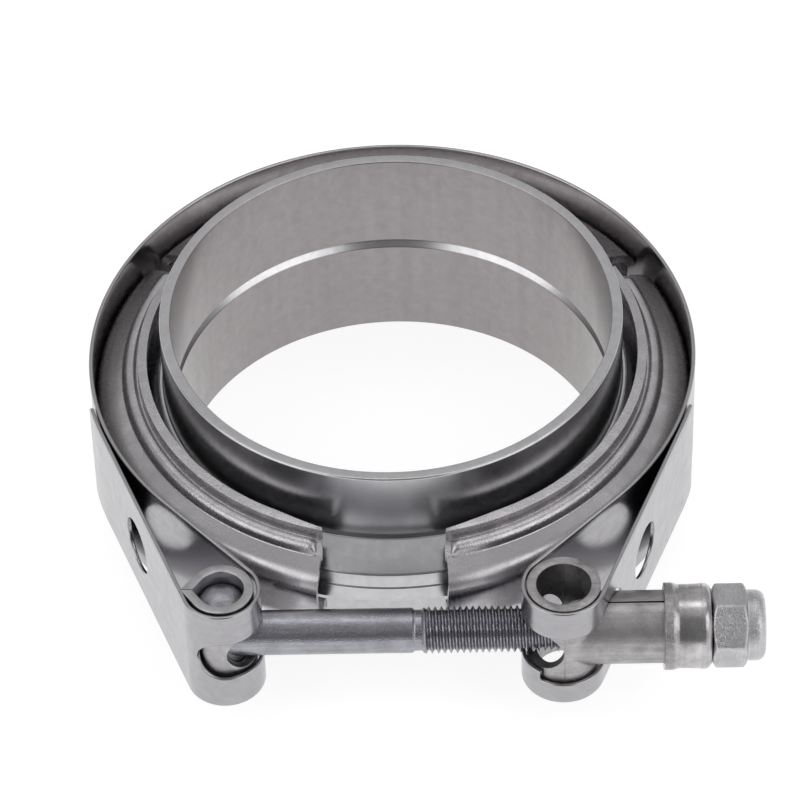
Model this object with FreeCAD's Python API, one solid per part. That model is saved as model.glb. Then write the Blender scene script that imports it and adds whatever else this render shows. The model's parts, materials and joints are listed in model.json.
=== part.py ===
"""V-band clamp for a 3 inch pipe joint.

Two flanges meet face to face at z = 0 with their bore along Z. Three V-shaped
retainers inside a flat band wedge the flange rims together. The band's two ends
are folded into loops at the front (-Y); a T-bolt along X pulls them together.
All lengths are millimetres and all angles are degrees.
"""
import FreeCAD
import Part
import math
import os

V = FreeCAD.Vector

# Flanges
bore_r = 38.2
neck_wall = 1.9
neck_length = 20.0
rim_width = 6.2
rim_edge = 3.26
bevel_angle = 27.5
bevel_edge_round = 0.5
neck_foot_fillet = 1.5
bore_chamfer = 1.0
edge_break = 0.25
register_from_bore = 2.8
register_width = 2.4
register_height = 1.2
register_clearance = 0.1

# V retainers
retainer_sheet = 1.6
retainer_bend = 1.35
lip_inner_gap = 2.65
leg_angle = 23.0
seat_clearance = 0.85
bead_width = 1.9
bead_round = 0.9
bead_from_lip = 0.4
bead_below_lip = 2.6
bead_end_angle = 2.0
rear_retainer_ends = (33.7, 143.4)
left_retainer_ends = (148.9, 254.4)
right_retainer_ends = (-78.2, 26.8)
front_end_skew = 8.0

# Band
wall_inset = 5.8
band_sheet = 0.7
band_width = 22.0
flex_angle = 32.0
flex_gap = 0.05
pivot_x = 28.5
bolt_standoff = 3.1
left_lap_angle = 8.5
right_lap_angle = 6.3
lap_gap = 0.25
weld_spot_r = 1.6
tail_corner_r = 2.0
tail_hole_r = 5.0
left_tail_hole_from_loop = 24.5
right_tail_hole_from_loop = 21.3

# Loop windows
left_slot_half = 4.25
left_slot_front = -88.0
right_slot_half = 4.45
barrel_window_half = 6.6
barrel_window_start = -55.0

# T-bolt and its sleeve
head_r = 3.8
head_inset = 1.0
head_dome = 1.8
shank_r = 3.8
thread_r = 3.95
relief_r = 3.45
relief_x = 3.2
thread_x = 4.7
bolt_end_chamfer = 0.8
sleeve_running_gap = 0.08
sleeve_wall = 1.6
sleeve_apex = 0.65
sleeve_split = 0.15
sleeve_hole_gap = 0.4
loop_gap = 0.5

# Trunnion
trunnion_r = 6.15
tube_bore_r = 4.6
barrel_bore_r = 4.2
barrel_end_x = 51.5
bolt_hole_half = 4.45
bolt_hole_turn = 44.0
seam_width = 0.4
trunnion_gap = 0.25

# Cup collar
cup_running_gap = 0.08
cup_fit_gap = 0.2
cup_wall = 0.85
cup_floor = 1.6
cup_length = 7.85
cup_lip_length = 1.3
cup_lip_rise = 0.15
cup_waist = 0.15
cup_shoulder_r = 2.0
cup_inner_round = 0.12

# Lock nut and its nylon ring
nut_across_flats = 12.45
nut_hex_length = 5.75
nut_length = 8.85
nut_collar_r = 5.95
nut_collar_round = 1.6
nut_thread_gap = 0.06
nut_gap = 0.15
nut_corner_chamfer = 30.0
nut_flat_turn = 45.0
ring_r = 5.1
ring_length = 1.8
ring_lip = 0.7
bolt_end_inset = 0.4

# Sizes that follow
neck_r = bore_r + neck_wall
rim_r = neck_r + rim_width
register_inner_r = bore_r + register_from_bore
wall_outer_r = rim_r + wall_inset
band_mid_r = wall_outer_r + band_sheet / 2
band_outer_r = wall_outer_r + band_sheet
half_width = band_width / 2
lip_height = half_width
bead_height = lip_height - bead_below_lip
pivot_y = -(band_outer_r + bolt_standoff)
head_half_length = half_width - head_inset
sleeve_inner_r = head_r + sleeve_running_gap
sleeve_outer_r = sleeve_inner_r + sleeve_wall
left_loop_r = sleeve_outer_r + loop_gap + band_sheet / 2
right_loop_r = trunnion_r + trunnion_gap + band_sheet / 2
cup_inner_r = trunnion_r + cup_fit_gap
cup_body_r = cup_inner_r + cup_wall
cup_floor_x = barrel_end_x + cup_running_gap
cup_end_x = cup_floor_x + cup_floor
cup_start_x = cup_end_x - cup_length
nut_start_x = cup_end_x + nut_gap
nut_end_x = nut_start_x + nut_length
bolt_end_x = nut_end_x - bolt_end_inset
bolt_line = V(0, pivot_y, 0)


def polar(centre, radius, angle):
    """A point at a radius and an angle from a centre in the XY plane."""
    turn = math.radians(angle)
    return V(centre.x + radius * math.cos(turn), centre.y + radius * math.sin(turn), 0)


def rounded_face(corners):
    """A face in the XZ plane from corners (across, up, rounding radius)."""
    points = [V(a, 0, b) for a, b, _ in corners]
    runs = []
    edges = []
    for i, (_, _, radius) in enumerate(corners):
        corner = points[i]
        to_last = (points[i - 1] - corner).normalize()
        to_next = (points[(i + 1) % len(points)] - corner).normalize()
        if radius == 0:
            runs.append((corner, corner))
            continue
        half = to_last.getAngle(to_next) / 2
        reach = radius / math.tan(half)
        start = corner + to_last * reach
        end = corner + to_next * reach
        middle = (to_last + to_next).normalize() * (radius / math.sin(half) - radius)
        edges.append(Part.Arc(start, corner + middle, end).toShape())
        runs.append((start, end))
    for i, run in enumerate(runs):
        following = runs[(i + 1) % len(runs)][0]
        if run[1].distanceToPoint(following) > 1e-6:
            edges.append(Part.makeLine(run[1], following))
    return Part.Face(Part.Wire(Part.__sortEdges__(edges)))


def lathe(corners, sweep=360.0):
    """Turn a section of (radius, z, rounding) about the Z axis."""
    return rounded_face(corners).revolve(V(0, 0, 0), V(0, 0, 1), sweep)


def lathe_on_bolt(corners):
    """Turn a section of (x, radius, rounding) about the T-bolt's axis."""
    solid = rounded_face(corners).revolve(V(0, 0, 0), V(1, 0, 0), 360)
    solid.translate(bolt_line)
    return solid


def offset_line(points, distance):
    """The corners of a bent line moved sideways by a distance, with mitred bends."""
    moved = []
    for i, point in enumerate(points):
        before = (point - points[max(i - 1, 0)])
        after = (points[min(i + 1, len(points) - 1)] - point)
        first = V(-before.z, 0, before.x).normalize() if i else None
        second = V(-after.z, 0, after.x).normalize() if i < len(points) - 1 else None
        if first is None or second is None:
            moved.append(point + (first or second) * distance)
            continue
        bisector = (first + second).normalize()
        moved.append(point + bisector * (distance / bisector.dot(first)))
    return moved


def bent_sheet(points, bend, sheet):
    """Corners of a folded sheet's section, from the middle line and the middle bend radius."""
    half = sheet / 2
    left = offset_line(points, half)
    right = offset_line(points, -half)
    corners = []
    for side, line in ((1, left), (-1, right)):
        rounded = []
        for i, point in enumerate(line):
            radius = half * 0.6
            if 0 < i < len(line) - 1:
                turn = (points[i] - points[i - 1]).cross(points[i + 1] - points[i]).y
                outward = -1 if turn * side < 0 else 1
                radius = bend + outward * half
            rounded.append((point.x, point.z, radius))
        corners += rounded if side == 1 else rounded[::-1]
    return corners


def flange_section(groove):
    """Half section of an upper flange with its joint face at z = 0: groove or low ring."""
    bevel_top = rim_edge + (rim_r - neck_r) * math.tan(math.radians(bevel_angle))
    gap = register_clearance if groove else 0
    level = register_height + gap if groove else -register_height
    inner_r = register_inner_r - gap
    outer_r = register_inner_r + register_width + gap
    return [
        (bore_r + bore_chamfer, 0, 0),
        (inner_r, 0, 0),
        (inner_r, level, 0),
        (outer_r, level, 0),
        (outer_r, 0, 0),
        (rim_r, 0, edge_break),
        (rim_r, rim_edge, bevel_edge_round),
        (neck_r, bevel_top, neck_foot_fillet),
        (neck_r, neck_length, edge_break),
        (bore_r, neck_length, edge_break),
        (bore_r, bore_chamfer, 0),
    ]


def upper_flange():
    """Female flange: its joint face has a shallow ring groove."""
    return lathe(flange_section(True))


def lower_flange():
    """Male flange: its joint face has a low ring that enters the other's groove."""
    return lathe(flange_section(False)).mirror(V(0, 0, 0), V(0, 0, 1))


def leg_middle(radius):
    """Height of the upper V leg's middle line at a radius, clear of the rim's bevel edge."""
    slope = math.radians(leg_angle)
    standing = (seat_clearance + retainer_sheet / 2) / math.cos(slope)
    return rim_edge + standing + (rim_r - radius) * math.tan(slope)


def turned(solid, angle):
    """A solid turned about the Z axis."""
    solid.rotate(V(0, 0, 0), V(0, 0, 1), angle)
    return solid


def retainer(ends, skews):
    """One V retainer: outer wall, two legs, a bead and an upturned lip on each.

    Each end is cut by an upright plane through the lip, turned from radial by its skew so
    that the outer wall is the longer one.
    """
    lip_inner_r = neck_r + lip_inner_gap
    lip_r = lip_inner_r + retainer_sheet / 2
    wall_r = wall_outer_r - retainer_sheet / 2
    upper = [V(lip_r, 0, lip_height), V(lip_r, 0, leg_middle(lip_r)), V(wall_r, 0, leg_middle(wall_r))]
    lower = [V(p.x, 0, -p.z) for p in reversed(upper)]
    section = bent_sheet(upper + lower, retainer_bend, retainer_sheet)
    start, end = ends
    reach = 2 * wall_outer_r
    body = turned(lathe(section, end - start + 2 * front_end_skew), start - front_end_skew)
    for side, angle, skew in ((-1, start, skews[0]), (1, end, skews[1])):
        beyond = Part.makeBox(2 * reach, reach, reach, V(-reach, min(0, side * reach), -reach / 2))
        beyond = turned(beyond, angle + side * skew)
        beyond.translate(polar(V(0, 0, 0), lip_inner_r, angle))
        body = body.cut(beyond)
    bead_in = lip_inner_r + retainer_sheet + bead_from_lip
    bead_out = bead_in + bead_width
    for side in (1, -1):
        bead = lathe([
            (bead_in, side * leg_middle(bead_in), 0),
            (bead_out, side * leg_middle(bead_out), 0),
            (bead_out, side * bead_height, bead_round),
            (bead_in, side * bead_height, bead_round),
        ], end - start - 2 * bead_end_angle)
        body = body.fuse(turned(bead, start + bead_end_angle))
    return body.removeSplitter()


def ribbon(arcs, sheet, width):
    """A flat strip on edge: arcs of (centre, radius, start, end) joined by straight runs."""
    half = sheet / 2
    sides = []
    for side in (1, -1):
        edges = []
        last = None
        for centre, radius, start, end in arcs:
            turn = 1 if end > start else -1
            r = radius - side * turn * half
            first, middle, final = (polar(centre, r, a) for a in (start, (start + end) / 2, end))
            if last is not None:
                edges.append(Part.makeLine(last, first))
            edges.append(Part.Arc(first, middle, final).toShape())
            last = final
        sides.append((edges, edges[0].valueAt(edges[0].FirstParameter), last))
    caps = []
    for which in (0, -1):
        centre, radius, start, end = arcs[which]
        angle = end if which else start
        caps.append(Part.makeLine(polar(centre, radius - half, angle), polar(centre, radius + half, angle)))
    outline = Part.Wire(Part.__sortEdges__(sides[0][0] + sides[1][0] + caps))
    strip = Part.Face(outline).extrude(V(0, 0, width))
    strip.translate(V(0, 0, -width / 2))
    return strip


def radial_drill(centre, radius, angle, reach):
    """A round cutter that leaves a centre level in a direction."""
    turn = math.radians(angle)
    return Part.makeCylinder(radius, reach, centre, V(math.cos(turn), math.sin(turn), 0))


def level_wedge(centre, half, start, end, reach):
    """A cutter of height 2 x half between two directions from a centre."""
    solid = Part.makeCylinder(reach, 2 * half, V(0, 0, -half), V(0, 0, 1), end - start)
    solid.rotate(V(0, 0, 0), V(0, 0, 1), start)
    solid.translate(centre)
    return solid


def arm_path(loop_r, lap_angle):
    """The left arm's strip: ring, inner run, loop, tail and lap, with its tail's places."""
    ring = V(0, 0, 0)
    pivot = V(-pivot_x, pivot_y, 0)
    span = pivot.Length
    bearing = math.degrees(math.atan2(pivot.y, pivot.x)) % 360
    inner_sum = band_mid_r + loop_r
    leave = bearing - math.degrees(math.acos(inner_sum / span))
    lap_r = band_outer_r + lap_gap + band_sheet / 2
    outer_difference = lap_r - loop_r
    touch = bearing - math.degrees(math.acos(outer_difference / span))
    arcs = [
        (ring, band_mid_r, 180 - flex_angle + flex_half_turn(), leave),
        (pivot, loop_r, leave - 180, touch - 360),
        (ring, lap_r, touch, touch - lap_angle),
    ]
    return arcs, pivot, touch


def flex_half_turn():
    """Half the flex line's gap as an angle at the band."""
    return math.degrees(flex_gap / 2 / band_mid_r)


def plain_arm(loop_r, lap_angle, tail_hole_from_loop):
    """The left arm's strip with its tail hole, rounded end and weld spots."""
    arcs, pivot, touch = arm_path(loop_r, lap_angle)
    strip = ribbon(arcs, band_sheet, band_width)
    lap_mid_r = arcs[2][1]
    end = polar(V(0, 0, 0), lap_mid_r, touch - lap_angle)
    corners = []
    for edge in strip.Edges:
        middle = edge.valueAt((edge.FirstParameter + edge.LastParameter) / 2)
        flat = V(middle.x, middle.y, 0)
        if abs(edge.Length - band_sheet) < 1e-4 and flat.distanceToPoint(end) < band_sheet:
            corners.append(edge)
    strip = strip.makeFillet(tail_corner_r, corners)
    tail_start = polar(pivot, loop_r, touch)
    along = (polar(V(0, 0, 0), lap_mid_r, touch) - tail_start).normalize()
    hole = radial_drill(tail_start + along * tail_hole_from_loop, tail_hole_r, touch, 4 * band_sheet)
    hole.translate(polar(V(0, 0, 0), -2 * band_sheet, touch))
    strip = strip.cut(hole)
    spot_angle = touch - lap_angle / 2
    for height in (half_width / 2, -half_width / 2):
        spot = radial_drill(polar(V(0, 0, 0), band_mid_r, spot_angle), weld_spot_r, spot_angle,
                            lap_mid_r - band_mid_r)
        spot.translate(V(0, 0, height))
        strip = strip.fuse(spot)
    return strip.removeSplitter(), pivot


def band_left():
    """Left arm: one level slot lets the T-bolt's shank in from the front and the right."""
    strip, pivot = plain_arm(left_loop_r, left_lap_angle, left_tail_hole_from_loop)
    reach = left_loop_r + 2 * band_sheet
    for cutter in (
        radial_drill(pivot, left_slot_half, 0, reach),
        radial_drill(pivot, left_slot_half, left_slot_front, reach),
        level_wedge(pivot, left_slot_half, left_slot_front, 0, reach),
    ):
        strip = strip.cut(cutter)
    return strip


def band_right():
    """Right arm: a slot for the bolt towards the middle and a tall window for the barrel."""
    strip, pivot = plain_arm(right_loop_r, right_lap_angle, right_tail_hole_from_loop)
    reach = right_loop_r + 2 * band_sheet
    for cutter in (
        radial_drill(pivot, right_slot_half, 0, reach),
        level_wedge(pivot, right_slot_half, barrel_window_start, 0, reach),
        level_wedge(pivot, barrel_window_half, -180, barrel_window_start, reach + band_sheet),
        radial_drill(pivot, barrel_window_half, 180, 2 * reach),
    ):
        strip = strip.cut(cutter)
    return strip.mirror(V(0, 0, 0), V(1, 0, 0))


def band_rear():
    """Rear stretch of the band between the two flex lines."""
    edge = flex_angle + flex_half_turn()
    return ribbon([(V(0, 0, 0), band_mid_r, edge, 180 - edge)], band_sheet, band_width)


def t_bolt():
    """T-bolt: a domed cross pin, a plain shank, a relief and the threaded length."""
    dome_r = (head_r ** 2 + head_dome ** 2) / (2 * head_dome)
    pin = Part.makeCylinder(head_r, 2 * head_half_length, V(0, 0, -head_half_length))
    for side in (1, -1):
        ball = Part.makeSphere(dome_r, V(0, 0, side * (head_half_length - dome_r)))
        column = Part.makeCylinder(head_r, 2 * head_half_length, V(0, 0, -head_half_length),
                                   V(0, 0, 1))
        column.translate(V(0, 0, -side * head_half_length))
        pin = pin.common(ball.fuse(column))
    pin.translate(V(-pivot_x, pivot_y, 0))
    cone = thread_r - relief_r
    stem = lathe_on_bolt([
        (-pivot_x, 0, 0),
        (-pivot_x, shank_r, 0),
        (relief_x, shank_r, 0),
        (relief_x + shank_r - relief_r, relief_r, 0),
        (thread_x, relief_r, 0),
        (thread_x + cone, thread_r, 0),
        (bolt_end_x - bolt_end_chamfer, thread_r, 0),
        (bolt_end_x, thread_r - bolt_end_chamfer, 0),
        (bolt_end_x, 0, 0),
    ])
    return pin.fuse(stem).removeSplitter()


def bolt_sleeve():
    """Rolled sleeve round the cross pin: a teardrop with its split at the apex."""
    shapes = []
    for radius, height in ((sleeve_outer_r, band_width), (sleeve_inner_r, 2 * band_width)):
        apex = V(-(sleeve_outer_r + sleeve_apex) * radius / sleeve_outer_r, 0, 0)
        half = math.degrees(math.acos(-radius / apex.x))
        upper, lower = (polar(V(0, 0, 0), radius, 180 + turn) for turn in (-half, half))
        outline = Part.Wire([
            Part.Arc(upper, V(radius, 0, 0), lower).toShape(),
            Part.makeLine(lower, apex),
            Part.makeLine(apex, upper),
        ])
        solid = Part.Face(outline).extrude(V(0, 0, height))
        solid.translate(V(-pivot_x, pivot_y, -height / 2))
        shapes.append(solid)
    reach = 2 * sleeve_outer_r
    split = Part.makeBox(reach, sleeve_split, 2 * band_width,
                         V(-pivot_x - reach, pivot_y - sleeve_split / 2, -band_width))
    shank_hole = radial_drill(V(-pivot_x, pivot_y, 0), shank_r + sleeve_hole_gap, 0, reach)
    return shapes[0].cut(shapes[1]).cut(split).cut(shank_hole)


def trunnion():
    """One folded sheet: an upright tube whose ends run on as a barrel along the bolt."""
    pivot = V(pivot_x, pivot_y, 0)
    barrel_length = barrel_end_x - pivot_x
    upright = Part.makeCylinder(trunnion_r, band_width, V(pivot_x, pivot_y, -half_width))
    barrel = Part.makeCylinder(trunnion_r, barrel_length, pivot, V(1, 0, 0))
    solid = upright.fuse(barrel)
    solid = solid.cut(Part.makeCylinder(tube_bore_r, 2 * band_width, V(pivot_x, pivot_y, -band_width)))
    solid = solid.cut(Part.makeCylinder(barrel_bore_r, 2 * barrel_length, pivot, V(1, 0, 0)))
    reach = 2 * trunnion_r
    for cutter in (
        radial_drill(pivot, bolt_hole_half, 180 - bolt_hole_turn, reach),
        radial_drill(pivot, bolt_hole_half, 180 + bolt_hole_turn, reach),
        level_wedge(pivot, bolt_hole_half, 180 - bolt_hole_turn, 180 + bolt_hole_turn, reach),
        Part.makeBox(2 * barrel_length, seam_width, 2 * band_width,
                     V(pivot_x + trunnion_r / 2, pivot_y - seam_width / 2, -band_width)),
    ):
        solid = solid.cut(cutter)
    return solid.removeSplitter()


def cup_collar():
    """Drawn cup over the barrel's end, with a flared trimmed lip and a holed floor."""
    return lathe_on_bolt([
        (cup_start_x, cup_inner_r, 0),
        (cup_start_x, cup_body_r + cup_lip_rise, 0.2),
        (cup_start_x + cup_lip_length, cup_body_r + cup_lip_rise, 0.2),
        (cup_start_x + 2 * cup_lip_length, cup_body_r - cup_waist, 0.5),
        (cup_end_x - 2 * cup_shoulder_r, cup_body_r - cup_waist, 0.5),
        (cup_end_x - cup_shoulder_r / 2, cup_body_r, 0.5),
        (cup_end_x, cup_body_r, cup_shoulder_r / 2 - 0.05),
        (cup_end_x, thread_r + cup_fit_gap, 0),
        (cup_floor_x, thread_r + cup_fit_gap, 0),
        (cup_floor_x, cup_inner_r, cup_inner_round),
    ])


def lock_nut():
    """Hexagon nut with a turned collar that holds the nylon ring."""
    corner_r = nut_across_flats / math.sqrt(3)
    flat_r = nut_across_flats / 2
    points = [V(0, corner_r * math.cos(math.radians(60 * i)), corner_r * math.sin(math.radians(60 * i)))
              for i in range(7)]
    hexagon = Part.Face(Part.makePolygon(points)).extrude(V(nut_hex_length, 0, 0))
    hexagon.rotate(V(0, 0, 0), V(1, 0, 0), 180 - nut_flat_turn - 30)
    hexagon.translate(bolt_line + V(nut_start_x, 0, 0))
    hex_end_x = nut_start_x + nut_hex_length
    drop = (corner_r - flat_r) * math.tan(math.radians(nut_corner_chamfer))
    bound = lathe_on_bolt([
        (nut_start_x, 0, 0),
        (nut_start_x, flat_r, 0),
        (nut_start_x + drop, corner_r, 0),
        (hex_end_x - drop, corner_r, 0),
        (hex_end_x, flat_r, 0),
        (hex_end_x, 0, 0),
    ])
    bore = thread_r + nut_thread_gap
    collar = lathe_on_bolt([
        (nut_start_x + drop, 0, 0),
        (nut_start_x + drop, nut_collar_r, 0),
        (nut_end_x, nut_collar_r, nut_collar_round),
        (nut_end_x, 0, 0),
    ])
    hollow = lathe_on_bolt([
        (nut_start_x - 1, 0, 0),
        (nut_start_x - 1, bore, 0),
        (nut_end_x - ring_lip - ring_length, bore, 0),
        (nut_end_x - ring_lip - ring_length, ring_r, 0),
        (nut_end_x - ring_lip, ring_r, 0),
        (nut_end_x - ring_lip, bore, 0),
        (nut_end_x + 1, bore, 0),
        (nut_end_x + 1, 0, 0),
    ])
    return hexagon.common(bound).fuse(collar).cut(hollow).removeSplitter()


def nylon_ring():
    """Locking ring held in the nut's collar."""
    start = nut_end_x - ring_lip - ring_length
    end = nut_end_x - ring_lip
    bore = thread_r + nut_thread_gap
    return lathe_on_bolt([(start, bore, 0), (start, ring_r, 0), (end, ring_r, 0), (end, bore, 0)])


os.makedirs("parts", exist_ok=True)
pieces = {
    "upper_flange": upper_flange(),
    "lower_flange": lower_flange(),
    "band_rear": band_rear(),
    "band_left": band_left(),
    "band_right": band_right(),
    "retainer_rear": retainer(rear_retainer_ends, (0, 0)),
    "retainer_left": retainer(left_retainer_ends, (0, front_end_skew)),
    "retainer_right": retainer(right_retainer_ends, (front_end_skew, 0)),
    "t_bolt": t_bolt(),
    "bolt_sleeve": bolt_sleeve(),
    "trunnion": trunnion(),
    "cup_collar": cup_collar(),
    "lock_nut": lock_nut(),
    "nylon_ring": nylon_ring(),
}
for name, shape in pieces.items():
    solids = shape.Solids
    print(name, len(solids), shape.isValid(), round(shape.Volume, 1))
    shape.exportStep(f"parts/{name}.step")
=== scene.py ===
"""The looks of a V-band pipe clamp: two flanges, the band with its retainers, and the T-bolt's pieces.

Every surface is worked out from the clamp's own sizes, in metres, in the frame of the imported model:
the bore runs along Z, the flanges meet at z = 0 and the T-bolt lies along X in front, at -Y.
"""
import json
import math

import bmesh
import bpy
import numpy as np
from bpy.props import FloatProperty, FloatVectorProperty, IntProperty, PointerProperty
from bpy.types import Operator, Panel, PropertyGroup
from mathutils import Matrix, Vector


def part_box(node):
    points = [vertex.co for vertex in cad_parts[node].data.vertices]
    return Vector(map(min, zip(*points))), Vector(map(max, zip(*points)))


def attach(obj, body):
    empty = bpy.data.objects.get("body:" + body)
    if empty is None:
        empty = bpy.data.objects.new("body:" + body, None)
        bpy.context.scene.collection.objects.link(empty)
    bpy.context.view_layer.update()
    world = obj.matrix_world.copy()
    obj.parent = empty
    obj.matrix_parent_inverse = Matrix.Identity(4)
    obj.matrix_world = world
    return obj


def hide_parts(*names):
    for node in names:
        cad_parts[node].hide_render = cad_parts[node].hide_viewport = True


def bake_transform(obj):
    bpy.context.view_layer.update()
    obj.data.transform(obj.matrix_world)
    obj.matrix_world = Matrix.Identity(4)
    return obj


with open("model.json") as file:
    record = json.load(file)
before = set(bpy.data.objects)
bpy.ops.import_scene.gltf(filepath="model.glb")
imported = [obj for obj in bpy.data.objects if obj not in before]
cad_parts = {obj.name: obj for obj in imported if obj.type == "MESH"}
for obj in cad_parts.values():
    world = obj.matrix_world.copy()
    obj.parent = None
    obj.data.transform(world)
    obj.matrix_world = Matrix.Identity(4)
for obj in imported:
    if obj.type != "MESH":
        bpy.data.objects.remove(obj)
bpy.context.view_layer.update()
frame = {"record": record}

bl_info = {
    "name": "V-Band Pipe Clamp",
    "version": (1, 0, 0),
    "blender": (4, 5, 0),
    "location": "View3D > Sidebar > V-Band Clamp",
    "description": "Builds the finished surfaces of a V-band clamp and its two pipe flanges",
    "category": "Add Mesh",
}

MM = 0.001
WALL_ROWS = 9  # rows between the rims of a strip's half
EDGE_SWINGS = (90, 60, 30)  # degrees from level at which a strip's rounded rim has points
RETAINER_COLUMNS = 121  # points along each retainer
CROWDING = 0.88  # how much those crowd towards its ends, where one is the most
BOLT_SEGMENTS = 72  # steps round the T-bolt
BROAD_SHARE = 0.7  # share of the blotches, against the grain, in a steel's tone
MARK_SHARE = 0.35  # share of the tool marks in a steel's tone
mounts = {mount["name"]: mount for mount in frame["record"]["mounts"]}
bore_radius = mounts["pipe_bore"]["dims"]["r_mm"] * MM
flange_low, flange_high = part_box("upper_flange")
nut_low, nut_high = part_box("lock_nut")
cup_low, cup_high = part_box("cup_collar")
bolt_low, bolt_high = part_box("t_bolt")
band_low, band_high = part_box("band_rear")
bolt_y = (nut_low.y + nut_high.y) / 2


def length(label, about, millimetres):
    """A size in metres whose default is given in millimetres."""
    return FloatProperty(name=label, description=about, default=millimetres * MM, unit="LENGTH", precision=5)


def angle(label, about, degrees):
    """An angle whose default is given in degrees."""
    return FloatProperty(name=label, description=about, default=math.radians(degrees), unit="ROTATION")


def amount(label, about, value):
    """A plain number."""
    return FloatProperty(name=label, description=about, default=value, precision=4)


def steel_colour(label, about, value):
    """A metal's colour in linear light."""
    return FloatVectorProperty(name=label, description=about, default=value, subtype="COLOR", min=0, max=1)


class FlangeSizes(PropertyGroup):
    neck_wall: length("Neck wall", "Thickness of the pipe neck", 1.9)
    rim_edge: length("Rim edge", "Height of the rim's upright edge on each flange", 3.26)
    bevel_angle: angle("Bevel angle", "Slope of the rim's back, which the retainers wedge on", 27.5)
    bevel_round: length("Bevel round", "Rounding between the rim's edge and its bevel", 0.5)
    relief_width: length("Relief width", "Width of the turned relief at the neck's foot", 0.7)
    relief_depth: length("Relief depth", "Depth of that relief", 0.55)
    edge_break: length("Edge break", "Rounding of the turned edges", 0.34)
    bore_chamfer: length("Bore chamfer", "Chamfer inside the joint face", 1.0)
    register_radius: length("Register radius", "Inner radius of the ring that centres the two faces", 41.0)
    register_width: length("Register width", "Width of that ring", 2.4)
    register_height: length("Register height", "Height of that ring", 1.2)
    register_gap: length("Register gap", "Clearance of the groove round that ring", 0.1)
    segments: IntProperty(name="Segments", description="Steps round the bore", default=384)


class RetainerSizes(PropertyGroup):
    sheet: length("Sheet", "Thickness of the pressed sheet", 1.6)
    lip_gap: length("Lip gap", "From the neck to the lip", 2.65)
    lip_height: length("Lip height", "Top of the lip above the joint face", 11.0)
    lip_fall: length("Lip fall", "How much lower the lip's outer edge lies than its inner edge", 0.22)
    leg_angle: angle("Leg angle", "Slope of the V's legs", 23)
    seat_clearance: length("Seat clearance", "From the rim's edge to the leg", 0.85)
    crease: length("Crease", "Rounding where the leg meets the lip", 0.35)
    shoulder: length("Shoulder", "Outer bend between the leg and the wall", 4.3)
    wall_inset: length("Wall inset", "From the rim to the retainer's outer wall", 5.8)
    leg_lift: length("Leg lift", "How far the leg's outer side stands above a plain sheet", 1.75)
    bead_gap: length("Bead gap", "From the lip to the groove's bottom and on to the bead", 0.4)
    bead_width: length("Bead width", "Width of the pressed bead", 1.9)
    bead_height: length("Bead height", "Top of the bead above the joint face", 9.05)
    bead_round: length("Bead round", "Rounding of the bead's outer shoulder", 1.5)
    groove_depth: length("Groove depth", "From the bead's top to the groove behind it", 0.6)
    bead_splay: length("Bead splay", "How far the bead's foot stands out", 0.5)
    bead_stop: length("Bead stop", "From the cut end to where the bead dies out", 0.9)
    bead_run: length("Bead run", "Length over which the bead dies out", 1.3)
    end_skew: angle("End skew", "Turn of the front ends away from radial", 8)
    taper: length("Taper", "How much the lip narrows at a front end", 1.15)
    taper_angle: angle("Taper angle", "Stretch over which the lip narrows", 12)
    cut_waver: length("Cut waver", "Unevenness of the sheared ends", 0.12)
    edge: length("Edge", "Rounding of the sheet's edges", 0.26)


class BandSizes(PropertyGroup):
    sheet: length("Sheet", "Thickness of the strip", 0.7)
    edge: length("Edge", "Rounding of the strip's edges", 0.26)
    pivot_x: length("Pivot across", "From the middle to each loop's axis", 28.5)
    left_loop: length("Left loop", "Middle radius of the left loop", 6.33)
    right_loop: length("Right loop", "Middle radius of the right loop", 6.75)
    left_lap: angle("Left lap", "Length of the left tail's lap on the band", 8.5)
    right_lap: angle("Right lap", "Length of the right tail's lap on the band", 6.3)
    lap_gap: length("Lap gap", "Between the band and the lapped tail", 0.25)
    spot: length("Weld spot", "Radius of the two weld spots on each lap", 1.6)
    tail_corner: length("Tail corner", "Corner radius of the tail's end", 2.0)
    tail_hole: length("Tail hole", "Radius of the round hole in each tail", 5.0)
    left_hole_run: length("Left hole run", "From the left loop to the tail hole", 24.5)
    right_hole_run: length("Right hole run", "From the right loop to the tail hole", 21.3)
    left_slot: length("Left slot", "Half height of the slot that the shank passes", 4.25)
    left_slot_end: angle("Left slot end", "Direction of the slot's front end", -88)
    right_slot: length("Right slot", "Half height of the right loop's slot", 4.7)
    window: length("Window", "Half height of the window that the barrel passes", 6.6)
    window_start: angle("Window start", "Direction in which the window starts", -55)
    hinge: angle("Flex line", "Where each arm bends from the rear stretch", 32)
    hinge_reach: angle("Flex reach", "Half of the stretch over which the strip bends", 5)


class BoltSizes(PropertyGroup):
    shank: length("Shank", "Radius of the plain shank", 3.8)
    thread: length("Thread", "Outer radius of the thread", 3.95)
    pitch: length("Pitch", "Advance of the thread in one turn", 25.4 / 24)
    depth: length("Depth", "Depth of the thread", 0.62)
    relief: length("Relief", "Radius of the neck between shank and thread", 3.45)
    relief_start: length("Relief start", "Where the shank ends along X", 3.2)
    thread_start: length("Thread start", "Where the thread's run-in starts along X", 4.7)
    end_chamfer: length("End chamfer", "Chamfer of the bolt's end", 0.8)
    pin_dome: length("Pin dome", "Height of the cross pin's domed ends", 1.8)
    sleeve_gap: length("Sleeve gap", "Between the cross pin and its sleeve", 0.08)
    sleeve_wall: length("Sleeve wall", "Thickness of the rolled sleeve", 1.6)
    sleeve_apex: length("Sleeve apex", "How far the sleeve's two ends stand out", 1.15)
    sleeve_split: length("Sleeve split", "Gap between the sleeve's two ends", 0.15)
    sleeve_hole: length("Sleeve hole", "Half height of the shank's slot in the sleeve", 4.2)
    sleeve_edge: length("Sleeve edge", "Rounding of the sleeve's edges", 0.12)
    sleeve_slot: angle("Sleeve slot", "Direction of the middle of that slot's round front end", -33)


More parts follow.
